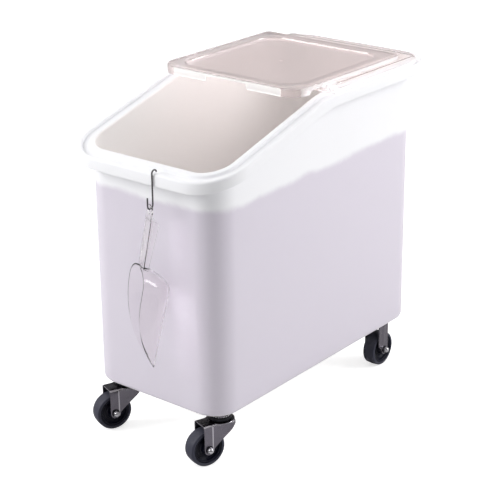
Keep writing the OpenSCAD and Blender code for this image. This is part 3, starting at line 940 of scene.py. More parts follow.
class Repeats:
    """Geometry Nodes trees for what repeats or follows a path, each turned into a plain mesh."""

    @staticmethod
    def _tree(name: str, **inputs: str) -> tuple[Shader, Sockets]:
        """Starts a tree with a geometry input and output, a material input and others.

        Args:
            name: The tree's name.
            inputs: The other inputs, each with its kind.

        Returns:
            The helper for the tree, and what the tree is given.
        """
        tree = bpy.data.node_groups.new(name, "GeometryNodeTree")
        for key, kind in {"Geometry": "Geometry", "Material": "Material", **inputs}.items():
            tree.interface.new_socket(key, in_out="INPUT", socket_type=f"NodeSocket{kind}")
        tree.interface.new_socket("Geometry", in_out="OUTPUT", socket_type="NodeSocketGeometry")
        helper = Shader(tree)
        return helper, helper.node("NodeGroupInput").outputs

    @staticmethod
    def _run(helper: Shader, geometry: NodeSocket, given: Sockets, points: Sequence[Vector],
             edges: Sequence[tuple[int, int]], **values: object) -> Mesh:
        """Ends a tree with real geometry in its material, runs it on points and keeps the result.

        Args:
            helper: Helper for the tree.
            geometry: What the tree makes.
            given: What the tree is given.
            points: Points that it starts from.
            edges: Edges between them.
            values: Values of the tree's inputs.

        Returns:
            The result as a plain mesh.
        """
        real = helper.node("GeometryNodeRealizeInstances", Geometry=geometry)
        dressed = helper.node("GeometryNodeSetMaterial", Geometry=real.outputs[0], Material=given["Material"])
        helper.node("NodeGroupOutput", Geometry=dressed.outputs[0])
        start = bpy.data.meshes.new(helper.tree.name)
        start.from_pydata(points, edges, [])
        source = add_object(helper.tree.name, start)
        modifier = source.modifiers.new("repeat", "NODES")
        modifier.node_group = helper.tree
        for item in helper.tree.interface.items_tree:
            if item.in_out == "INPUT" and item.name in values:
                modifier[item.identifier] = values[item.name]
        graph = bpy.context.evaluated_depsgraph_get()
        mesh = bpy.data.meshes.new_from_object(source.evaluated_get(graph))
        source.modifiers.remove(modifier)
        bpy.data.objects.remove(source)
        return mesh

    @classmethod
    def along_path(cls, name: str, points: Sequence[Vector], radius: float, finish: Finish) -> Mesh:
        """A round bar along a path.

        Args:
            name: Name of the tree.
            points: The path.
            radius: The bar's radius.
            finish: Its finish.

        Returns:
            The bar's mesh.
        """
        helper, given = cls._tree(name, Radius="Float")
        curve = helper.node("GeometryNodeMeshToCurve", Mesh=given["Geometry"]).outputs[0]
        circle = helper.node("GeometryNodeCurvePrimitiveCircle", Resolution=16, Radius=given["Radius"])
        swept = helper.node("GeometryNodeCurveToMesh", Curve=curve, Profile_Curve=circle.outputs[0],
                            Fill_Caps=True)
        edges = [(i, i + 1) for i in range(len(points) - 1)]
        return cls._run(helper, swept.outputs[0], given, points, edges, Radius=radius,
                        Material=finish.material())

    @classmethod
    def at_points(cls, name: str, shape: Draft, places: Sequence[Vector], finish: Finish,
                  turn: float = 0.0) -> Mesh:
        """A shape repeated at places, each turned a little more about Z.

        Args:
            name: Name of the tree.
            shape: The shape, round its own origin.
            places: Where it goes.
            finish: Its finish.
            turn: Turn from one copy to the next, in radians.

        Returns:
            The mesh of all copies.
        """
        helper, given = cls._tree(name, Shape="Object", Turn="Float")
        model = helper.node("GeometryNodeObjectInfo", Object=given["Shape"]).outputs["Geometry"]
        step = helper.calc("MULTIPLY", helper.node("GeometryNodeInputIndex").outputs[0], given["Turn"])
        turned = helper.node("ShaderNodeCombineXYZ", Z=step).outputs[0]
        copies = helper.node("GeometryNodeInstanceOnPoints", Points=given["Geometry"], Instance=model,
                             Rotation=turned)
        single = add_object(name + "_shape", shape.mesh(name + "_shape"))
        made = cls._run(helper, copies.outputs[0], given, places, [], Shape=single, Turn=turn,
                        Material=finish.material())
        bpy.data.objects.remove(single)
        with editing(made) as bm:
            bmesh.ops.recalc_face_normals(bm, faces=bm.faces)
        return made


# The tub


@dataclass(frozen=True)
class Wall:
    """One point of the tub's cross-section: a distance in from the rim's edge, and a height.

    The height is a drop below the rim's own top, a level above the floor, or a share of the way between.
    """

    inset: float
    drop: float = 0.0
    level: float = 0.0
    share: float = 0.0


@dataclass
class Tub:
    """The moulded tub with its rolled rim."""

    rim_w: float = 0.392
    rim_l: float = 0.718
    rim_z: float = 0.688
    overhang: float = 0.030
    skirt_h: float = 0.0235
    rim_t: float = 0.004
    bead_w: float = 0.008
    groove_w: float = 0.015
    groove_d: float = 0.006
    groove_draft: float = 0.001
    slope: float = math.radians(15.5)
    knee_y: float = -0.014
    knee_soft: float = 0.007
    wall_t: float = 0.005
    inner_drop: float = 0.006
    outer_drop: float = 0.012
    base_z: float = 0.112
    floor_t: float = 0.014
    corner_r: float = 0.056
    foot_r: float = 0.010
    inner_foot_r: float = 0.008
    edge_r: float = 0.0026
    bow: float = 0.0012
    bow_top: float = 0.03
    bow_soft: float = 0.02
    wall_rows: int = 14

    @property
    def outer_r(self) -> float:
        """Radius of the rim's corners in plan."""
        return self.corner_r + self.overhang

    @property
    def outline(self) -> RoundedOutline:
        """The rim's outer edge in plan."""
        return RoundedOutline(self.rim_w / 2, -self.rim_l / 2, self.rim_l / 2, self.outer_r, self.outer_r,
                              side_steps=64, end_steps=18, arc_steps=18)

    def rim_top(self, y: float) -> float:
        """Height of the rim's top, with a soft knee between flat and slope.

        Args:
            y: Place along Y.

        Returns:
            The height.
        """
        ahead = (self.knee_y - y) / self.knee_soft
        run = self.knee_soft * (ahead if ahead > 30 else math.log1p(math.exp(ahead)))
        return self.rim_z - run * math.tan(self.slope)

    def section(self) -> list[Wall]:
        """The cross-section of the tub.

        Returns:
            Its points, from the middle of the inner floor over the rim to the middle of the base.
        """
        inner = self.overhang + self.wall_t
        ledge = self.bead_w + self.groove_w
        under = self.groove_d + self.rim_t
        inner_foot = self.base_z + self.floor_t + self.inner_foot_r
        outer_foot = self.base_z + self.foot_r
        shares = [i / self.wall_rows for i in range(1, self.wall_rows)]
        foot = [Wall(inner + self.inner_foot_r - x, level=z, share=1)
                for x, z in arc((0, inner_foot), self.inner_foot_r, -90, 0, 6)]
        up = [Wall(inner, self.inner_drop, inner_foot, 1 - share) for share in shares]
        r = self.edge_r
        rim = rounded_line([
            (inner, -self.inner_drop, 0), (inner, 0, r * 1.3), (ledge, 0, r),
            (ledge - self.groove_draft, -self.groove_d, r),
            (self.bead_w + self.groove_draft, -self.groove_d, r), (self.bead_w, 0, r * 1.35), (0, 0, r * 1.5),
            (0, -self.skirt_h, r * 0.75), (self.rim_t, -self.skirt_h, r * 0.75),
            (self.rim_t, -under, r * 1.2), (self.overhang, -under, r * 2),
            (self.overhang, -under - self.outer_drop, 0),
        ])
        over = [Wall(inset, drop=-z) for inset, z in rim]
        down = [Wall(self.overhang, under + self.outer_drop, outer_foot, share) for share in shares]
        heel = [Wall(self.overhang + self.foot_r - x, level=z, share=1)
                for x, z in arc((0, outer_foot), self.foot_r, 0, -90, 8)]
        return foot + up + over + down + heel

    def _pull(self, wall: Wall, x: float, y: float, z: float) -> float:
        """How far a wall bows in at a point.

        Args:
            wall: The point's place in the cross-section.
            x: The point's X.
            y: Its Y.
            z: Its Z.

        Returns:
            The distance.
        """
        if not 0 < wall.share < 1:
            return 0
        up = (z - self.base_z) / (self.rim_z - self.bow_top - self.base_z)
        pull = self.bow * math.sin(math.pi * min(max(up, 0), 1)) * math.cos(math.pi * y / self.rim_l) ** 2
        half = self.rim_w / 2 - wall.inset
        return pull * smooth_step(abs(x), half - self.bow_soft, half)

    def build(self) -> None:
        """Builds the tub and hands it over."""
        outline = self.outline
        rings = []
        for wall in self.section():
            ring = []
            for x, y in outline.ring(wall.inset):
                z = mix(self.rim_top(y) - wall.drop, wall.level, wall.share)
                ring.append(Vector((x - math.copysign(self._pull(wall, x, y, z), x), y, z)))
            rings.append(ring)
        Draft().loft(rings).finish(Role("tub_shell", TUB_PLASTIC, "tub", "tub_plastic", ("bin_body",), 60))


# The lids


@dataclass
class FrontLid:
    """The clear lid that slides, with its sunk panel, front skirt, hand notch and side rails."""

    tub: Tub
    inset: float = 0.025
    length: float = 0.349
    front_y: float = -0.097
    rail_rise: float = 0.014
    side_h: float = 0.009
    front_h: float = 0.018
    wrap: float = 0.044
    front_r: float = 0.038
    rear_r: float = 0.014
    border: float = 0.027
    border_lap: float = 0.008
    panel_d: float = 0.005
    panel_draft: float = 0.0015
    panel_lap: float = 0.012
    panel_middle: float = 0.05
    sheet_t: float = 0.003
    notch_w: float = 0.100
    notch_lift: float = 0.0025
    rail_w: float = 0.0035
    rail_t: float = 0.002
    rail_end: float = 0.02
    rail_zone: float = 0.006
    rail_corner: float = 0.9
    side_walls: float = 1.2
    step_soft: float = 0.004
    edge_r: float = 0.0022
    lip_r: float = 0.0006
    inner_r: float = 0.002
    frost_d: float = 0.0035
    gate_mark: tuple[Point, ...] = ((0.0045, -0.0004), (0.0045, 0.0002), (0.004, 0.0006), (0.0015, 0.0006))

    @property
    def half(self) -> float:
        """Half of the lid's width."""
        return self.tub.rim_w / 2 - self.inset

    @property
    def rear_y(self) -> float:
        """The lid's rear edge."""
        return self.front_y + self.length

    def _near(self, places: Sequence[float]) -> tuple[float, ...]:
        """Extra places close to where the skirt's depth changes."""
        return tuple(p + self.step_soft * k for p in places for k in (-0.5, -0.25, 0, 0.25, 0.5))

    def _past(self, value: float, place: float) -> float:
        """A soft change from 0 before a place to 1 past it."""
        return smooth_step(value, place - self.step_soft / 2, place + self.step_soft / 2)

    @property
    def outline(self) -> RoundedOutline:
        """The lid's outer edge in plan."""
        notch = self.notch_w / 2
        return RoundedOutline(self.half, self.front_y, self.rear_y, self.front_r, self.rear_r,
                              front_stops=self._near((-notch, notch)),
                              side_stops=self._near((self.front_y + self.wrap, self.rear_y - self.rail_end)),
                              side_steps=20, end_steps=20, arc_steps=10)

    def skirt_bottom(self, x: float, y: float) -> float:
        """Height of the skirt's lower edge.

        Args:
            x: X of a place of the outline.
            y: Its Y.

        Returns:
            The height there.
        """
        rail_z = self.tub.rim_z + self.rail_rise
        deep = rail_z + self.side_h - self.front_h
        wrap = 1 - self._past(y, self.front_y + self.wrap)
        notch = 1 - self._past(abs(x), self.notch_w / 2)
        return mix(rail_z, deep, wrap * (1 - notch)) + self.notch_lift * wrap * notch

    def rail_reach(self, x: float, y: float) -> float:
        """How far the rail stands out.

        Args:
            x: X of a place of the outline.
            y: Its Y.

        Returns:
            The distance along X there.
        """
        ahead = self._past(y, self.front_y + self.wrap)
        behind = 1 - self._past(y, self.rear_y - self.rail_end)
        return math.copysign(self.rail_w * ahead * behind if abs(x) > self.half - self.rail_zone else 0, x)

    def build(self) -> None:
        """Builds the front lid and hands it over."""
        outline = self.outline
        top = self.tub.rim_z + self.rail_rise + self.side_h
        sunk = top - self.panel_d
        edge, t, low, r = self.edge_r, self.sheet_t, self.lip_r, self.inner_r
        panel = RoundedOutline(self.half - self.border, self.front_y + self.border, self.rear_y - self.border,
                               self.front_r, self.front_r, arc_steps=10)
        outer = outline.ring()

        def skirt(inset: float, lift: float, out: float = 0.0) -> Ring:
            """A ring round the skirt, a height above its lower edge, with a share of the rail."""
            return [Vector((x + self.rail_reach(*p) * out, y, self.skirt_bottom(*p) + lift))
                    for p, (x, y) in zip(outer, outline.ring(inset))]

        foot = skirt(t, 2 * low)
        upper = [foot, skirt(t, low), skirt(t - low, 0), skirt(low, 0, 1), skirt(0, low, 1),
                 skirt(0, self.rail_t - low, 1), skirt(low, self.rail_t, self.rail_corner),
                 skirt(0, self.rail_t + low)]
        upper += outline.levels(arc((edge, top - edge), edge, 180, 90, 5))
        down = rounded_line([(-self.border_lap, top, 0), (0, top, edge), (self.panel_draft, sunk, edge * 0.8),
                             (self.panel_lap, sunk, 0)], 4)
        upper += panel.levels(down + [(self.panel_middle, sunk)], outline)
        under = rounded_line([(self.panel_lap, sunk - t, 0), (self.panel_draft - t, sunk - t, edge),
                              (-t, top - t, edge * 0.6), (-self.panel_lap, top - t, 0)], 4)
        lower = panel.levels([(self.panel_middle, sunk - t)] + under, outline)
        lower += outline.levels(arc((t + r, top - t - r), r, 90, 180, 3))
        draft = Draft().shell(upper, lower + [foot])
        mark = Matrix.Translation((0, (self.front_y + self.rear_y) / 2, sunk)) @ UPRIGHT
        draft.revolve(self.gate_mark, mark, 20)
        role = Role("front_lid_clear", LID_CLEAR, "lid_front", "lid_clear", ("front_lid",), crease=50)
        lid = draft.finish(role)

        def frosted(middle: Vector, normal: Vector) -> bool:
            """True on the front skirt between its corners."""
            ahead = abs(middle.x) < self.half - self.front_r and middle.y < self.frost_d
            return ahead and middle.z < top - edge

        def outer_edge(middle: Vector, normal: Vector) -> bool:
            """True on the sides of the lid, with their rails."""
            return abs(middle.x) > self.half - self.side_walls * t and middle.z < top - edge

        refinish(lid, LID_FROST, frosted, Matrix.Translation((0, self.front_y, 0)))
        refinish(lid, EDGE_CLEAR, outer_edge)


@dataclass
class RearLid:
    """The clear lid that stays on the flat rear half of the rim, with the ears for the two guides."""

    tub: Tub
    flange_inset: float = 0.014
    flange_lap: float = 0.0025
    flange_low: float = 0.0003
    front_y: float = -0.008
    front_r: float = 0.004
    sheet_t: float = 0.003
    rise: float = 0.006
    plateau_inset: float = 0.033
    plateau_front: float = 0.003
    plateau_half: float = 0.1623
    plateau_r: float = 0.014
    plateau_draft: float = 0.0008
    plateau_lap: float = 0.01
    plateau_middle: float = 0.05
    lip_drop: float = 0.005
    lip_from: float = 0.002
    lip_full: float = 0.012
    lip_r: float = 0.0006
    lip_foot: float = 0.001
    seam: float = 0.0005
    ear_x: float = 0.1773
    ear_t: float = 0.003
    ear_l: float = 0.024
    ear_step: float = 0.002
    ear_edge: float = 0.0007
    eye_r: float = 0.005
    tilt_y: float = 0.0
    tilt_rise: float = 0.009
    edge_r: float = 0.0014

    def build(self) -> None:
        """Builds the rear lid and hands it over."""
        tub, t, edge, r = self.tub, self.sheet_t, self.edge_r, self.lip_r
        outline = RoundedOutline(tub.rim_w / 2 - self.flange_inset, self.front_y,
                                 tub.rim_l / 2 - self.flange_inset, self.front_r,
                                 tub.outer_r - self.flange_inset, side_steps=20, end_steps=16, arc_steps=14)
        plateau = RoundedOutline(self.plateau_half, self.front_y + self.plateau_front,
                                 tub.rim_l / 2 - self.plateau_inset, self.plateau_r, self.plateau_r,
                                 arc_steps=14)
        low, high, top = tub.rim_z + self.flange_low, tub.rim_z + t, tub.rim_z + self.rise
        drops = [self.lip_drop * smooth_step(y, self.front_y + self.lip_from, self.front_y + self.lip_full)
                 for _, y in outline.ring()]

        def lip(inset: float, lift: float) -> Ring:
            """A ring round the lip that hangs in the rim's groove, a height above its lower edge."""
            return [Vector((x, y, low - drop + lift)) for drop, (x, y) in zip(drops, outline.ring(inset))]

        foot = lip(t, self.lip_foot)
        upper = [foot, lip(t - r, 0), lip(r, 0), lip(0, r)]
        upper += outline.levels(arc((edge, high - edge), edge, 180, 90, 4))
        over = rounded_line([(-self.flange_lap, high, 0), (0, high, edge * 0.6),
                             (self.plateau_draft, top, edge), (self.plateau_lap, top, 0)], 4)
        upper += plateau.levels(over + [(self.plateau_middle, top)], outline)
        under = rounded_line([(self.plateau_lap, top - t, 0), (t, top - t, edge), (t, low, edge * 0.4),
                              (self.seam, low, 0)], 4)
        lower = plateau.levels([(self.plateau_middle, top - t)] + under, outline)
        lower += outline.levels([(t + self.seam, low)])
        draft = Draft().shell(upper, lower + [foot])
        for side in Side:
            self._ear(draft, side, low)
        role = Role("rear_lid_clear", REAR_CLEAR, "lid_rear", "lid_clear", ("rear_lid",), crease=50)
        lid = draft.finish(role)
        refinish(lid, EDGE_CLEAR, lambda middle, _: abs(middle.x) > self.plateau_half)

    def _ear(self, draft: Draft, side: Side, low: float) -> None:
        """Adds the upright ear that takes a guide's pin.

        Args:
            draft: The lid's draft.
            side: Side of the bin.
            low: Height of the flange's underside.
        """
        y, z = self.tilt_y, self.tub.rim_z + self.tilt_rise
        r, foot, rear = self.eye_r, low + self.ear_step, self.tilt_y + self.ear_l
        outline = arc((y, z), r, 90, 180, 8)
        outline += [(y - r, foot), (rear, foot), (rear, z - self.ear_step), (y + r, z)]
        outline += arc((y, z), r, 0, 90, 8)[1:-1]
        faces = sorted((side.value * self.ear_x, side.value * (self.ear_x + self.ear_t)))
        across = Matrix(((0, 0, 1, 0), (1, 0, 0, 0), (0, 1, 0, 0), (0, 0, 0, 1)))
        draft.slab(outline, *faces, self.ear_edge, across)


@dataclass
class LidGuides:
    """The two clear channels beside the rim's knee that hold the front lid's rails."""

    softening: float = 0.0005

    def build(self) -> None:
        """Builds both guides from their frame nodes, with softened edges, and dresses their pins."""
        for side in Side:
            node = f"{side.word}_lid_guide"
            soften(Role(f"{node}_clear", EDGE_CLEAR, "lid_carrier", "lid_clear", (node,)), self.softening)
        dress("lid_guide_pins", PALE_PIN)


# The scoop and its hook


@dataclass
class HookAndScoop:
    """The wire hook over the front rim, and the clear scoop that hangs from it."""

    tub: Tub
    hook_x: float = 0.044
    wire_r: float = 0.0015
    play: float = 0.0006
    drop: float = 0.0585
    bend_r: float = 0.007
    inner_tip: float = 16.0
    tip_h: float = 0.016
    handle_l: float = 0.104
    handle_w: float = 0.030
    handle_d: float = 0.018
    neck_d: float = 0.010
    neck_lap: float = 0.0042
    tab_room: float = 0.009
    run_out: float = 0.95
    run_out_depth: float = 0.97
    bowl_l: float = 0.207
    bowl_w: float = 0.086
    bowl_d: float = 0.066
    bowl_back: float = 0.034
    bowl_from: float = 0.05
    bowl_to: float = 0.93
    back_slope: float = 0.27
    mouth_out: float = 0.006
    taper_from: float = 0.25
    taper: float = 0.75
    taper_soft: float = 0.10
    keel_rise: float = 0.08
    cut_from: float = 0.2
    cut_power: float = 2.4
    cut_most: float = 0.998
    tip_walls: float = 3.5
    wall: float = 0.0025
    edge_w: float = 0.0005
    hole_d: float = 0.012
    hang_wall: float = 0.005
    hang_gap: float = 0.0009
    yaw: float = math.radians(-30)
    lean: float = math.radians(10.5)
    rings: int = 52
    sides: int = 32

    @property
    def bead(self) -> Point:
        """Middle of the rim's outer bead in Y and Z, at the front."""
        y = -self.tub.rim_l / 2 + self.tub.bead_w / 2
        return y, self.tub.rim_top(y)

    @property
    def top_r(self) -> float:
        """Radius of the hook's upper bend, at the middle of the wire."""
        half = self.tub.bead_w / 2
        return math.hypot(half, half * math.tan(self.tub.slope)) + self.wire_r + self.play

    @property
    def bend(self) -> Point:
        """Middle of the hook's lower bend in Y and Z."""
        y, z = self.bead
        return y - self.top_r - self.bend_r, z - self.drop

    @property
    def hang(self) -> Matrix:
        """Frame of the hanging scoop.

        Returns:
            The frame, with the hole at the origin, hung by its top, and the mouth towards -Y.
        """
        y, z = self.bend
        hole_top = Vector((self.hook_x, y, z - self.bend_r + self.wire_r + self.hang_gap))
        turned = Matrix.Rotation(self.yaw, 4, "Z") @ Matrix.Rotation(-self.lean, 4, "X")
        return Matrix.Translation(hole_top) @ turned @ Matrix.Translation((0, 0, -self.hole_d / 2))

    def build(self) -> None:
        """Builds the hook and the scoop."""
        self._hook()
        self._scoop()

    def _hook(self) -> None:
        """Sweeps the hook's wire along its two bends."""
        low_y, low_z = self.bend
        line = arc(self.bead, self.top_r, self.inner_tip, 180, 20)
        line += arc(self.bend, self.bend_r, 0, -180, 20)
        line.append((low_y - self.bend_r, low_z + self.tip_h))
        path = [Vector((self.hook_x, y, z)) for y, z in line]
        mesh = Repeats.along_path("hook_wire_sweep", path, self.wire_r, WIRE)
        hand_over(Role("hook_wire", WIRE, "hook", "hook_wire", ("scoop_hook",), crease=50), mesh)

    def bowl_point(self, place: float, turn: float, t: float) -> Vector:
        """A point of the bowl's wall, in the bowl's own frame.

        Args:
            place: Place along the bowl from its back to its tip, from 0 to 1, closer together at both ends.
            turn: Share of the way round it, from one edge of the mouth to the other.
            t: Depth in from the outside.

        Returns:
            The point.
        """
        length = self.bowl_l - self.tip_walls * t
        share = (1 - math.cos(math.pi * place)) / 2
        s = length * share
        back = self.bowl_back - t
        full = math.sqrt(1 - (1 - s / back) ** 2) if s < back else 1.0
        ahead, soft = share - self.taper_from, self.taper_soft
        narrow = max(ahead, 0) if abs(ahead) > soft else (ahead + soft) ** 2 / (4 * soft)
        narrow /= 1 - self.taper_from
        cut = (max(share - self.cut_from, 0) / (1 - self.cut_from)) ** self.cut_power
        half = (self.bowl_w / 2 * (1 - self.taper * narrow) - t) * full
        keel = self.bowl_d * (1 - self.keel_rise * narrow)
        edge = math.asin(min(cut * keel / (keel - t), self.cut_most))
        angle = mix(edge, math.pi - edge, turn)
        y = (keel - t) * full * math.sin(angle)
        return Vector((-half * math.cos(angle), y, -s - t - self.back_slope * y * (1 - share) ** 2))

    def _scoop(self) -> None:
        """Builds the scoop, its handle and its bowl in one."""
        draft = Draft()
        bowl = self.hang @ Matrix.Translation((0, -self.mouth_out, -self.handle_l))
        turns = [j / self.sides for j in range(self.sides + 1)]
        rings = []
        for i in range(self.rings + 1):
            place = mix(self.bowl_from, self.bowl_to, i / self.rings)
            outer = [bowl @ self.bowl_point(place, a, 0) for a in turns]
            inner = [bowl @ self.bowl_point(place, a, self.wall) for a in reversed(turns)]
            rings.append(outer + inner)
        draft.loft(rings)
        self._handle(draft, self.hang)
        role = Role("scoop_clear", SCOOP_CLEAR, "scoop_body", "scoop_clear", ("scoop",), crease=45)
        draft.finish(role, bevel=self.edge_w)

    def _handle(self, draft: Draft, place: Matrix) -> None:
        """Adds the channel handle with its tab and hanging hole.

        Args:
            draft: The scoop's draft.
            place: Frame of the handle: its hole at the origin, its foot down.
        """
        w, t = self.handle_w / 2, self.wall
        tab = -self.hole_d / 2 - self.tab_room
        shares = [0, 0.25, 0.5, 0.75, 0.9] + [mix(self.run_out, 1, i / 6) for i in range(7)]
        rings = []
        for share in shares:
            low = math.sqrt(1 - smooth_step(share, self.run_out, 1.0) * self.run_out_depth)
            deep = mix(self.neck_d, self.handle_d, share) * low - t / 2
            section = [(-w, -t / 2), (w, -t / 2), (w, deep), (w - t, deep), (w - t, t / 2), (-w + t, t / 2),
                       (-w + t, deep), (-w, deep)]
            ring = []
            for x, y in section:
                foot = -self.handle_l - self.neck_lap - self.back_slope * (y + self.mouth_out)
                ring.append(place @ Vector((x, y, mix(foot, tab, share))))
            rings.append(ring)
        draft.loft(rings)
        eye = arc((0, 0), self.hole_d / 2, 0, 360, 32)[:-1]
        upper = self.hole_d / 2 + self.hang_wall
        rim = []
        for x, z in eye:
            reach = max(abs(x) / w, z / tab if z < 0 else z / upper)
            rim.append((x / reach, z / reach))
        rim = [(x, z if z < 0 else min(z, upper, math.sqrt(max(w * w - x * x, 0)))) for x, z in rim]
        loops = [(eye, -t / 2), (rim, -t / 2), (rim, t / 2), (eye, t / 2)]
        rings = [[place @ Vector((x, y, z)) for x, z in loop] for loop, y in loops]
        draft.loft(rings, caps=False, round_trip=True)


# The casters


@dataclass
class Caster:
    """One caster: its top plate, fork, axle bolt with nut, and wheel, and at the front its swivel bearing."""

    mount: Mount
    side: Side
    yaw: float = 0.0
    caster_x: float = 0.123
    swivel_y: float = -0.276
    rear_y: float = 0.265
    trail: float = 0.036
    base_z: float = 0.112
    wheel_d: float = 0.076
    wheel_w: float = 0.028
    tyre_t: float = 0.007
    tyre_bead: float = 0.0026
    tyre_step: float = 0.0032
    tyre_crown: float = 0.0012
    tyre_slope: float = 0.0006
    tyre_lip: float = 0.0004
    bore_r: float = 0.00655
    hub_r: float = 0.0115
    hub_play: float = 0.0005
    hub_nose: float = 0.002
    hub_taper: float = 0.005
    hub_draft: float = 0.0012
    hub_foot: float = 0.003
    collar_w: float = 0.004
    collar_h: float = 0.002
    collar_foot: float = 0.0048
    web: float = 0.004
    step_foot: float = 0.0082
    step_in: float = 0.0072
    step_in_h: float = 0.0024
    step_out: float = 0.0055
    step_out_h: float = 0.0028
    rim_w: float = 0.0045
    face_in: float = 0.002
    seat_play: float = 0.0001
    swivel_plate_l: float = 0.056
    rigid_plate_l: float = 0.078
    plate_w: float = 0.056
    plate_t: float = 0.003
    plate_edge: float = 0.0007
    bolt_edge: float = 0.008
    race_h: float = 0.019
    race_d: float = 0.044
    race_play: float = 0.0003
    race_edge: float = 0.0012
    race_slope: float = 0.0006
    cup_h: float = 0.007
    waist: float = 0.003
    ball_r: float = 0.0020
    balls: int = 24
    kingpin_d: float = 0.010
    kingpin_play: float = 0.0001
    rivet_share: float = 0.9
    rivet_h: float = 0.005
    rivet_edge: float = 0.0042
    rivet_side: float = 0.0028
    fork_t: float = 0.0025
    leg_gap: float = 0.0025
    axle_d: float = 0.008
    axle_end: float = 0.004
    eye_r: float = 0.011
    head_h: float = 0.005
    hex_share: float = 0.9
    hex_edge: float = 0.0006
    nut_h: float = 0.0042
    dome_foot: float = 0.0035
    dome_start: float = 0.0045
    dome_h: float = 0.0055
    dome_share: float = 0.84
    crown_r: float = 0.028
    crown_rear: float = 0.8
    crown_edge: float = 0.0008
    shoulder: float = 0.010
    rear_front: float = 0.022
    widen_from: float = -0.002
    widen_to: float = 0.004
    rib_h: float = 0.0011
    rib_at: float = 0.52
    rib_sides: Point = (0.10, 0.17)
    rib_from: float = 0.016
    rib_full: float = 0.026
    fold_r: float = 0.004
    fold_facing: Point = (0.3, 0.9)
    crease_back: float = 0.008
    crease_w: float = 0.0012
    washer_t: float = 0.0009
    washer_lap: float = 0.0001
    washer_share: float = 1.15

    @property
    def word(self) -> str:
        """The caster's name as it stands in the frame's node names."""
        return f"{self.mount.value}_{self.side.word}"

    @property
    def plate_l(self) -> float:
        """Length of the top plate along Y."""
        return self.swivel_plate_l if self.mount is Mount.FRONT else self.rigid_plate_l

    @property
    def holder(self) -> str:
        """Body that carries the fork."""
        return f"{self.word}_swivel" if self.mount is Mount.FRONT else "tub"

    @property
    def stand(self) -> Matrix:
        """Frame of the top plate: upright, over the floor."""
        y = self.swivel_y if self.mount is Mount.FRONT else self.rear_y
        return Matrix.Translation((self.side.value * self.caster_x, y, 0))

    @property
    def turned(self) -> Matrix:
        """Frame of the fork, turned about the swivel axis."""
        return self.stand @ Matrix.Rotation(self.yaw, 4, "Z")

    @property
    def axle(self) -> Matrix:
        """Frame of the wheel, with X along the axle."""
        y = -self.trail if self.mount is Mount.FRONT else 0
        return self.turned @ Matrix.Translation((0, y, self.wheel_d / 2))

    @property
    def fork_mid(self) -> float:
        """Distance from the wheel's middle to the middle of a leg's sheet."""
        return self.wheel_w / 2 + self.leg_gap + self.fork_t / 2

    @property
    def plate_z(self) -> float:
        """Underside of the top plate."""
        return self.base_z - self.plate_t

    @property
    def crown_z(self) -> float:
        """Top of a swivel fork's crown."""
        return self.plate_z - self.race_h

    def bolt_places(self) -> list[Vector]:
        """Where the plate's four bolts stand, at the plate's underside."""
        x, y = self.plate_w / 2 - self.bolt_edge, self.plate_l / 2 - self.bolt_edge
        return [self.stand @ Vector((u * x, v * y, self.plate_z)) for u in (-1, 1) for v in (-1, 1)]

    def build(self) -> None:
        """Builds the caster's pieces and hands them over."""
        self._wheel()
        self._axle_and_nut()
        dress(f"{self.word}_bush", PLATED)
        if self.mount is Mount.FRONT:
            self._swivel_plate()
            self._race()
            self._swivel_fork()
        else:
            self._rigid_fork()

    def _finish(self, draft: Draft, name: str, node: str, finish: Finish, body: str,
                slot: str = "plated_steel", crease: float = 35) -> Object:
        """Hands over one of the caster's pieces.

        Args:
            draft: The piece's draft.
            name: The piece's name after the caster's.
            node: The frame node that it stands for, after the caster's name.
            finish: Its finish.
            body: Body that it rides on.
            slot: Material slot of the record.
            crease: Angle above which an edge stays sharp, in degrees.

        Returns:
            The piece.
        """
        return draft.finish(Role(f"{self.word}_{name}", finish, body, slot, (f"{self.word}_{node}",), crease))

    def _wheel(self) -> None:
        """Turns the tyre and the stepped core, each from a profile that is the same on both sides."""
        r, w = self.wheel_d / 2, self.wheel_w / 2
        seat, body = r - self.tyre_t, f"{self.word}_wheel"
        flank = [(seat, 0, 0), (seat, -w, 0.0006), (seat + self.tyre_bead, -w, 0.0008),
                 (seat + self.tyre_step, -w + self.tyre_lip, 0.0006),
                 (r - self.tyre_crown, -w + self.tyre_slope, 0.0035), (r, 0, 0.08)]
        tread = rounded_line(flank + [(radius, -x, soft) for radius, x, soft in reversed(flank[:-1])], 5)
        tyre = Draft().revolve(tread[:-1], self.axle, 72, hollow=True)
        self._finish(tyre, "tread", "tyre", TREAD_RUBBER, body, "wheel_tread")
        bore, hub, rim = self.bore_r, self.hub_r, seat - self.seat_play
        face, web, long = w - self.face_in, self.web, w + self.leg_gap - self.hub_play
        right = rounded_line([
            (bore, 0, 0), (bore, long, 0.0004), (hub - self.hub_nose, long, 0.0012),
            (hub, long - self.hub_taper, 0.001), (hub + self.hub_draft, web + self.hub_foot, 0.0015),
            (hub + self.collar_w, web + self.collar_h, 0.001), (hub + self.collar_foot, web, 0.001),
            (rim - self.step_foot, web, 0.0015), (rim - self.step_in, web + self.step_in_h, 0.001),
            (rim - self.step_out, web + self.step_out_h, 0.001), (rim - self.rim_w, face, 0.001),
            (rim, face, 0.0005), (rim, 0, 0),
        ], 3)
        left = [(radius, -x) for radius, x in reversed(right)]
        core = Draft().revolve(right[:-1] + left[:-1], self.axle, 72, hollow=True)
        self._finish(core, "hub", "core", CORE_PLASTIC, body, "wheel_core")

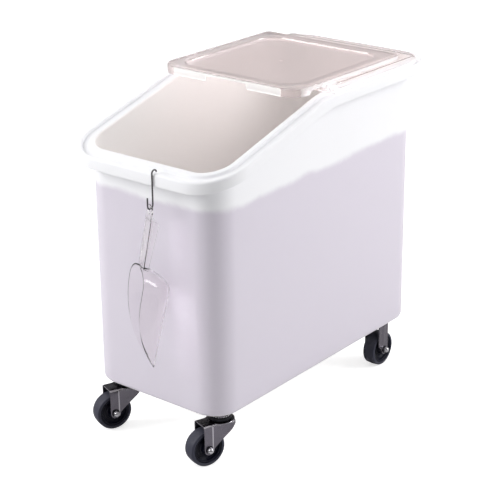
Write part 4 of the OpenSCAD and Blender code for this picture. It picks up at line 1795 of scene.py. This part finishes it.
    def _axle_and_nut(self) -> None:
        """Builds the axle bolt with its hexagon head, and the domed nut on its other end."""
        out = self.wheel_w / 2 + self.leg_gap + self.fork_t
        across, pin, washer = self.axle_d * self.hex_share, self.axle_d / 2, self.washer_t
        disc, seat = across * self.washer_share, washer - self.washer_lap
        place = self.axle @ Matrix.Rotation(math.pi / 2, 4, "Y")
        bolt = Draft().slab(hexagon(across), -out - self.head_h, -out - seat, self.hex_edge, place)
        bolt.revolve([(disc, -out - washer), (disc, -out)], self.axle, 36)
        bolt.revolve([(pin, -out), (pin, out + self.axle_end)], self.axle, 24)
        self._finish(bolt, "axle_bolt", "axle", BRIGHT, self.holder, crease=30)
        nut = Draft().slab(hexagon(across), out + seat, out + self.nut_h, self.hex_edge, place)
        nut.revolve([(disc, out), (disc, out + washer)], self.axle, 36)
        ball = across * self.dome_share
        angles = [math.radians(10 * i) for i in range(9)]
        dome = [(ball, out + self.dome_foot)]
        dome += [(ball * math.cos(a), out + self.dome_start + self.dome_h * math.sin(a)) for a in angles]
        nut.revolve(dome, self.axle, 36)
        dressed = self._finish(nut, "dome_nut", "nut", BRIGHT, self.holder, crease=30)
        # The washer's faces take the near black steel: a painted dark reflection ring.
        refinish(dressed, PAINTED_DARK_STEEL, lambda middle, _: middle.x < out + washer * 1.1, self.axle)

    def _plate(self) -> Draft:
        """The flat top plate.

        Returns:
            A draft of it.
        """
        outline = RoundedOutline(self.plate_w / 2, -self.plate_l / 2, self.plate_l / 2, self.bolt_edge,
                                 self.bolt_edge, side_steps=6, end_steps=6, arc_steps=6).ring()
        return Draft().slab(outline, self.plate_z, self.base_z, self.plate_edge, self.stand)

    def _swivel_plate(self) -> None:
        """Builds the top plate, and the kingpin with its head under the crown."""
        self._finish(self._plate(), "top_plate", "plate", PLATED, "tub")
        low = self.crown_z - self.fork_t - self.race_play
        head, shank = self.kingpin_d * self.rivet_share, self.kingpin_d / 2
        pin = [(head * 0.55, low - self.rivet_h), (head * 0.9, low - self.rivet_edge),
               (head, low - self.rivet_side), (head, low), (shank, low), (shank, self.base_z)]
        rivet = Draft().revolve(pin, self.stand @ UPRIGHT, 32)
        self._finish(rivet, "rivet", "kingpin", PLATED, "tub")

    def _race(self) -> None:
        """Builds the swivel's raceway, near black as painted shade, with its ring of balls."""
        upright = self.stand @ UPRIGHT
        low, high = self.crown_z + self.race_play, self.plate_z
        r, bore = self.race_d / 2, self.kingpin_d / 2 + self.kingpin_play
        neck, edge, slope = r - self.waist, self.race_edge, self.race_slope
        cup, lip = low + self.cup_h, high - self.cup_h
        ring = rounded_line([(bore, low, 0), (r - edge, low, 0.0008), (r, low + edge, 0.0008),
                             (r, cup, 0.0009), (neck, cup + slope, 0.0004), (neck, lip - slope, 0.0004),
                             (r, lip, 0.0009), (r, high, 0.0008), (bore, high, 0), (bore, low, 0)], 3)
        race = Draft().revolve(ring[:-1], upright, 56, hollow=True)
        self._finish(race, "raceway", "race", PAINTED_DARK_STEEL, "tub", "dark_steel")
        size = self.ball_r
        ball = Draft().revolve([(size * math.sin(math.pi * i / 8), -size * math.cos(math.pi * i / 8))
                                for i in range(9)], Matrix.Identity(4), 12)
        places = [upright @ Vector(((cup + lip) / 2, neck * math.cos(t), neck * math.sin(t)))
                  for t in (math.tau * i / self.balls for i in range(self.balls))]
        mesh = Repeats.at_points(f"{self.word}_ball_ring", ball, places, BRIGHT)
        hand_over(Role(f"{self.word}_balls", BRIGHT, "tub", "plated_steel", crease=60), mesh)

    def _leg_low(self, y: float) -> float:
        """Lower edge of a swivel fork's leg.

        Args:
            y: Place along the fork's own Y.

        Returns:
            The edge's height.
        """
        axle_y, axle_z = -self.trail, self.wheel_d / 2
        if y <= axle_y + self.eye_r:
            return axle_z - math.sqrt(max(self.eye_r ** 2 - (y - axle_y) ** 2, 0))
        start, end = axle_y + self.eye_r, self.crown_r * self.crown_rear
        return mix(axle_z, self.crown_z - self.shoulder, min((y - start) / (end - start), 1))

    def _swivel_fork(self) -> None:
        """Folds the swivel fork from one sheet: two creased legs, and a crown with a round rear."""
        axle_y, axle_z = -self.trail, self.wheel_d / 2
        rear, fold = self.crown_r * self.crown_rear, self.fold_r
        crease = axle_y + self.crease_back
        columns = [axle_y - self.eye_r * math.cos(math.pi * i / 16) for i in range(17)]
        columns += [mix(axle_y + self.eye_r, rear, i / 12) for i in range(1, 13)]
        columns = sorted(columns + [crease - self.crease_w, crease, crease + self.crease_w])
        top = self.crown_z - self.fork_t / 2

        def flare(y: float) -> float:
            """How far the sheet stands out beyond the straight part of the leg."""
            reach = math.sqrt(max(self.crown_r ** 2 - max(y, 0) ** 2, 0)) - self.fork_mid
            return max(y - crease, 0) / (rear - crease) * max(reach, 0)

        rows = []
        for y in columns:
            low, out = self._leg_low(y), flare(y)
            half = []
            for k in range(9):
                z = mix(low, top - fold, k / 8)
                ramp = (z - axle_z) / (top - axle_z)
                half.append(Vector((self.fork_mid + out * max(ramp, 0), y, z)))
            inside = self.fork_mid + out - fold
            half += [Vector((x, y, z)) for x, z in arc((inside, top - fold), fold, 15, 90, 5)]
            half += [Vector((inside * (1 - k / 3), y, top)) for k in (1, 2, 3)]
            rows.append(half + [Vector((-p.x, p.y, p.z)) for p in reversed(half[:-1])])
        draft = Draft().sheet([[self.turned @ p for p in row] for row in rows], self.fork_t)
        disc = arc((0, 0), self.crown_r, 0, 360, 40)[:-1]
        draft.slab(disc, self.crown_z - self.fork_t, self.crown_z, self.crown_edge, self.turned)
        fork = self._finish(draft, "pressed_fork", "fork", PLATED, self.holder, crease=28)

        def polished(middle: Vector, normal: Vector) -> bool:
            """True on the folds round the crown and on the legs' creases, which take a painted highlight."""
            flat, level = self.fold_facing
            folded = flat < normal.z < level and middle.z > self.crown_z - fold
            return folded or (abs(middle.y - crease) < self.crease_w and abs(normal.z) < flat)

        # Painted highlight: the folds and creases take the lighter plating in place of the light they would
        # catch.
        refinish(fork, FOLD_HIGHLIGHT, polished, self.turned)

    def _leg_point(self, side: Side, share: float, z: float) -> Vector:
        """A point of a rigid fork's leg, with its upright rib.

        Args:
            side: Which of the two legs.
            share: Share of the way across the leg, from its front to its rear.
            z: Height.

        Returns:
            The point, in the plate's frame.
        """
        axle_z = self.wheel_d / 2
        wide = smooth_step(z, axle_z + self.widen_from, axle_z + self.shoulder + self.widen_to)
        front = -mix(self.eye_r, self.rear_front, wide)
        rib = self.rib_h * (1 - smooth_step(abs(share - self.rib_at), *self.rib_sides))
        rib *= smooth_step(z, axle_z + self.rib_from, axle_z + self.rib_full)
        return Vector((side.value * (self.fork_mid + rib), mix(front, self.eye_r, share), z))

    def _rigid_fork(self) -> None:
        """Builds the rigid fork: its top plate and two legs."""
        draft = self._plate()
        shares = [(1 + math.sin(math.pi * (i / 24 - 0.5))) / 2 for i in range(25)]
        for side in Side:
            rows = []
            for share in shares:
                low = self.wheel_d / 2 - self.eye_r * math.sqrt(max(1 - (2 * share - 1) ** 2, 0))
                heights = [mix(low, self.plate_z, k / 16) for k in range(17)]
                rows.append([self.stand @ self._leg_point(side, share, z) for z in heights])
            draft.sheet(rows, self.fork_t)
        self._finish(draft, "pressed_fork", "fork", PLATED, self.holder, crease=28)


@dataclass
class PlateBolts:
    """The bolts and threaded inserts that hold the casters' plates to the tub's floor."""

    bolt_d: float = 0.006
    head_h: float = 0.0035
    head_edge: float = 0.0005
    hex_share: float = 0.82
    washer_share: float = 0.9
    point_share: float = 0.7
    washer_t: float = 0.0007
    lap: float = 0.0001
    grip: float = 0.010
    point_h: float = 0.001
    plate_t: float = 0.003
    turn: float = 0.7

    def build(self, casters: Sequence[Caster]) -> None:
        """Repeats one bolt at every place of the four plates.

        Args:
            casters: The casters, which know the places.
        """
        places = [p for caster in casters for p in caster.bolt_places()]
        r, washer_r, end = self.bolt_d / 2, self.bolt_d * self.washer_share, self.plate_t + self.grip
        head_low, head_high = -self.head_h, self.lap - self.washer_t
        bolt = Draft().slab(hexagon(self.bolt_d * self.hex_share), head_low, head_high, self.head_edge,
                            Matrix.Identity(4), 2)
        bolt.revolve([(washer_r, -self.washer_t), (washer_r, 0)], UPRIGHT, 20)
        bolt.revolve([(r, -self.lap), (r, end - self.point_h), (r * self.point_share, end)], UPRIGHT, 16)
        mesh = Repeats.at_points("plate_bolt_set", bolt, places, PLATED, turn=self.turn)
        hand_over(Role("plate_bolts", PLATED, "tub", "plated_steel", ("caster_bolts",), crease=35), mesh)
        dress("caster_inserts", BRASS)


# The studio


@dataclass(frozen=True)
class SoftBox:
    """A square lamp that is aimed at the bin."""

    name: str
    place: tuple[float, float, float]
    power: float
    size: float = 1.6

    def build(self, target: Vector) -> None:
        """Adds the lamp.

        Args:
            target: Where it is aimed.
        """
        data = bpy.data.lights.new(self.name, "AREA")
        data.shape = "RECTANGLE"
        data.size = data.size_y = self.size
        data.energy = self.power
        box = add_object(self.name, data)
        box.location = self.place
        box.rotation_euler = (target - Vector(self.place)).to_track_quat("-Z", "Y").to_euler()


@dataclass(frozen=True)
class Studio:
    """A pale floor, soft light from above, and a camera where the photograph's stood."""

    azimuth: float = math.radians(38.67)
    elevation: float = math.radians(21.05)
    roll: float = math.radians(-0.46)
    distance: float = 3.0841
    target: tuple[float, float, float] = (0.0, 0.0, 0.352)
    focal_px: float = 1500.88
    middle_px: Point = (258.32, 236.44)
    image_px: float = 500.0
    sensor_w: float = 36.0
    view_end: float = 200.0
    floor: float = 40.0
    floor_glow: float = 0.66
    floor_tone: float = 0.70
    floor_rough: float = 0.9
    floor_gloss: float = 0.1
    sky_low: float = 0.06
    sky_high: float = 1.05
    sky_gap: float = 0.0
    gap_from: float = 0.6
    gap_full: float = 0.98
    boxes: tuple[SoftBox, ...] = (SoftBox("left_box", (-2.2, -2.4, 1.9), 78),
                                  SoftBox("right_box", (2.3, 1.7, 1.6), 57))

    def camera(self) -> None:
        """Sets up the camera."""
        data = bpy.data.cameras.new("photo_camera")
        data.sensor_width = self.sensor_w
        data.lens = self.focal_px * self.sensor_w / self.image_px
        data.shift_x = (self.image_px / 2 - self.middle_px[0]) / self.image_px
        data.shift_y = (self.middle_px[1] - self.image_px / 2) / self.image_px
        data.clip_end = self.view_end
        a, e = self.azimuth, self.elevation
        back = Vector((math.sin(a) * math.cos(e), -math.cos(a) * math.cos(e), math.sin(e)))
        right = Vector((math.cos(a), math.sin(a), 0))
        up = back.cross(right)
        right, up = (right * math.cos(self.roll) + up * math.sin(self.roll),
                     up * math.cos(self.roll) - right * math.sin(self.roll))
        eye = Vector(self.target) + back * self.distance
        camera = add_object("photo_camera", data)
        camera.matrix_world = Matrix.Translation(eye) @ Matrix((right, up, back)).transposed().to_4x4()
        bpy.context.scene.camera = camera

    def light(self) -> None:
        """Lights the studio: a sky brighter overhead, a pale backdrop where it shows, and two soft boxes."""
        scene = bpy.context.scene
        scene.view_settings.view_transform = "Standard"
        scene.world = bpy.data.worlds.new("studio")
        scene.world.use_nodes = True
        s = Shader(scene.world.node_tree)
        direction = s.node("ShaderNodeTexCoord").outputs["Generated"]
        bright = s.ranged(s.parts(direction)["Z"], 0.0, 1.0, self.sky_low, self.sky_high)
        towards = (math.sin(self.azimuth), -math.cos(self.azimuth), 0)
        facing = s.calc("DOT_PRODUCT", direction, towards, kind=VECTOR_MATH)
        gap = s.ranged(facing, self.gap_from, self.gap_full, 1.0, self.sky_gap, soft=True)
        strength = s.calc("MULTIPLY", bright, gap)
        sky = s.tree.nodes["Background"].inputs
        s.put(s.calc("MAXIMUM", strength, s.light_path("Is Camera Ray")), sky["Strength"])
        s.put(WHITE, sky["Color"])
        for box in self.boxes:
            box.build(Vector(self.target))

    def ground(self) -> None:
        """Lays the pale floor."""
        mesh = bpy.data.meshes.new("studio_floor")
        f = self.floor
        mesh.from_pydata([(-f, -f, 0), (f, -f, 0), (f, f, 0), (-f, f, 0)], [], [(0, 1, 2, 3)])
        paint = Surface("floor_paint")
        glow = paint.calc("MULTIPLY", paint.light_path("Is Camera Ray"), self.floor_glow)
        paint.dress(Base_Color=(self.floor_tone, self.floor_tone, self.floor_tone, 1), Emission_Color=WHITE,
                    Emission_Strength=glow, Roughness=self.floor_rough, Specular_IOR_Level=self.floor_gloss)
        mesh.materials.append(paint.material)
        floor = add_object("studio_floor", mesh)


def main() -> None:
    """Builds the bin and its studio."""
    logging.basicConfig(level=logging.INFO, format="%(name)s: %(message)s")
    studio = Studio()
    studio.camera()
    studio.light()
    studio.ground()
    tub = Tub()
    tub.build()
    FrontLid(tub).build()
    RearLid(tub).build()
    LidGuides().build()
    HookAndScoop(tub).build()
    casters = [
        Caster(Mount.FRONT, Side.RIGHT, yaw=math.radians(-19)),
        Caster(Mount.FRONT, Side.LEFT, yaw=math.radians(-22)),
        Caster(Mount.REAR, Side.RIGHT),
        Caster(Mount.REAR, Side.LEFT),
    ]
    for caster in casters:
        caster.build()
    PlateBolts().build(casters)


if __name__ == "__main__":
    main()
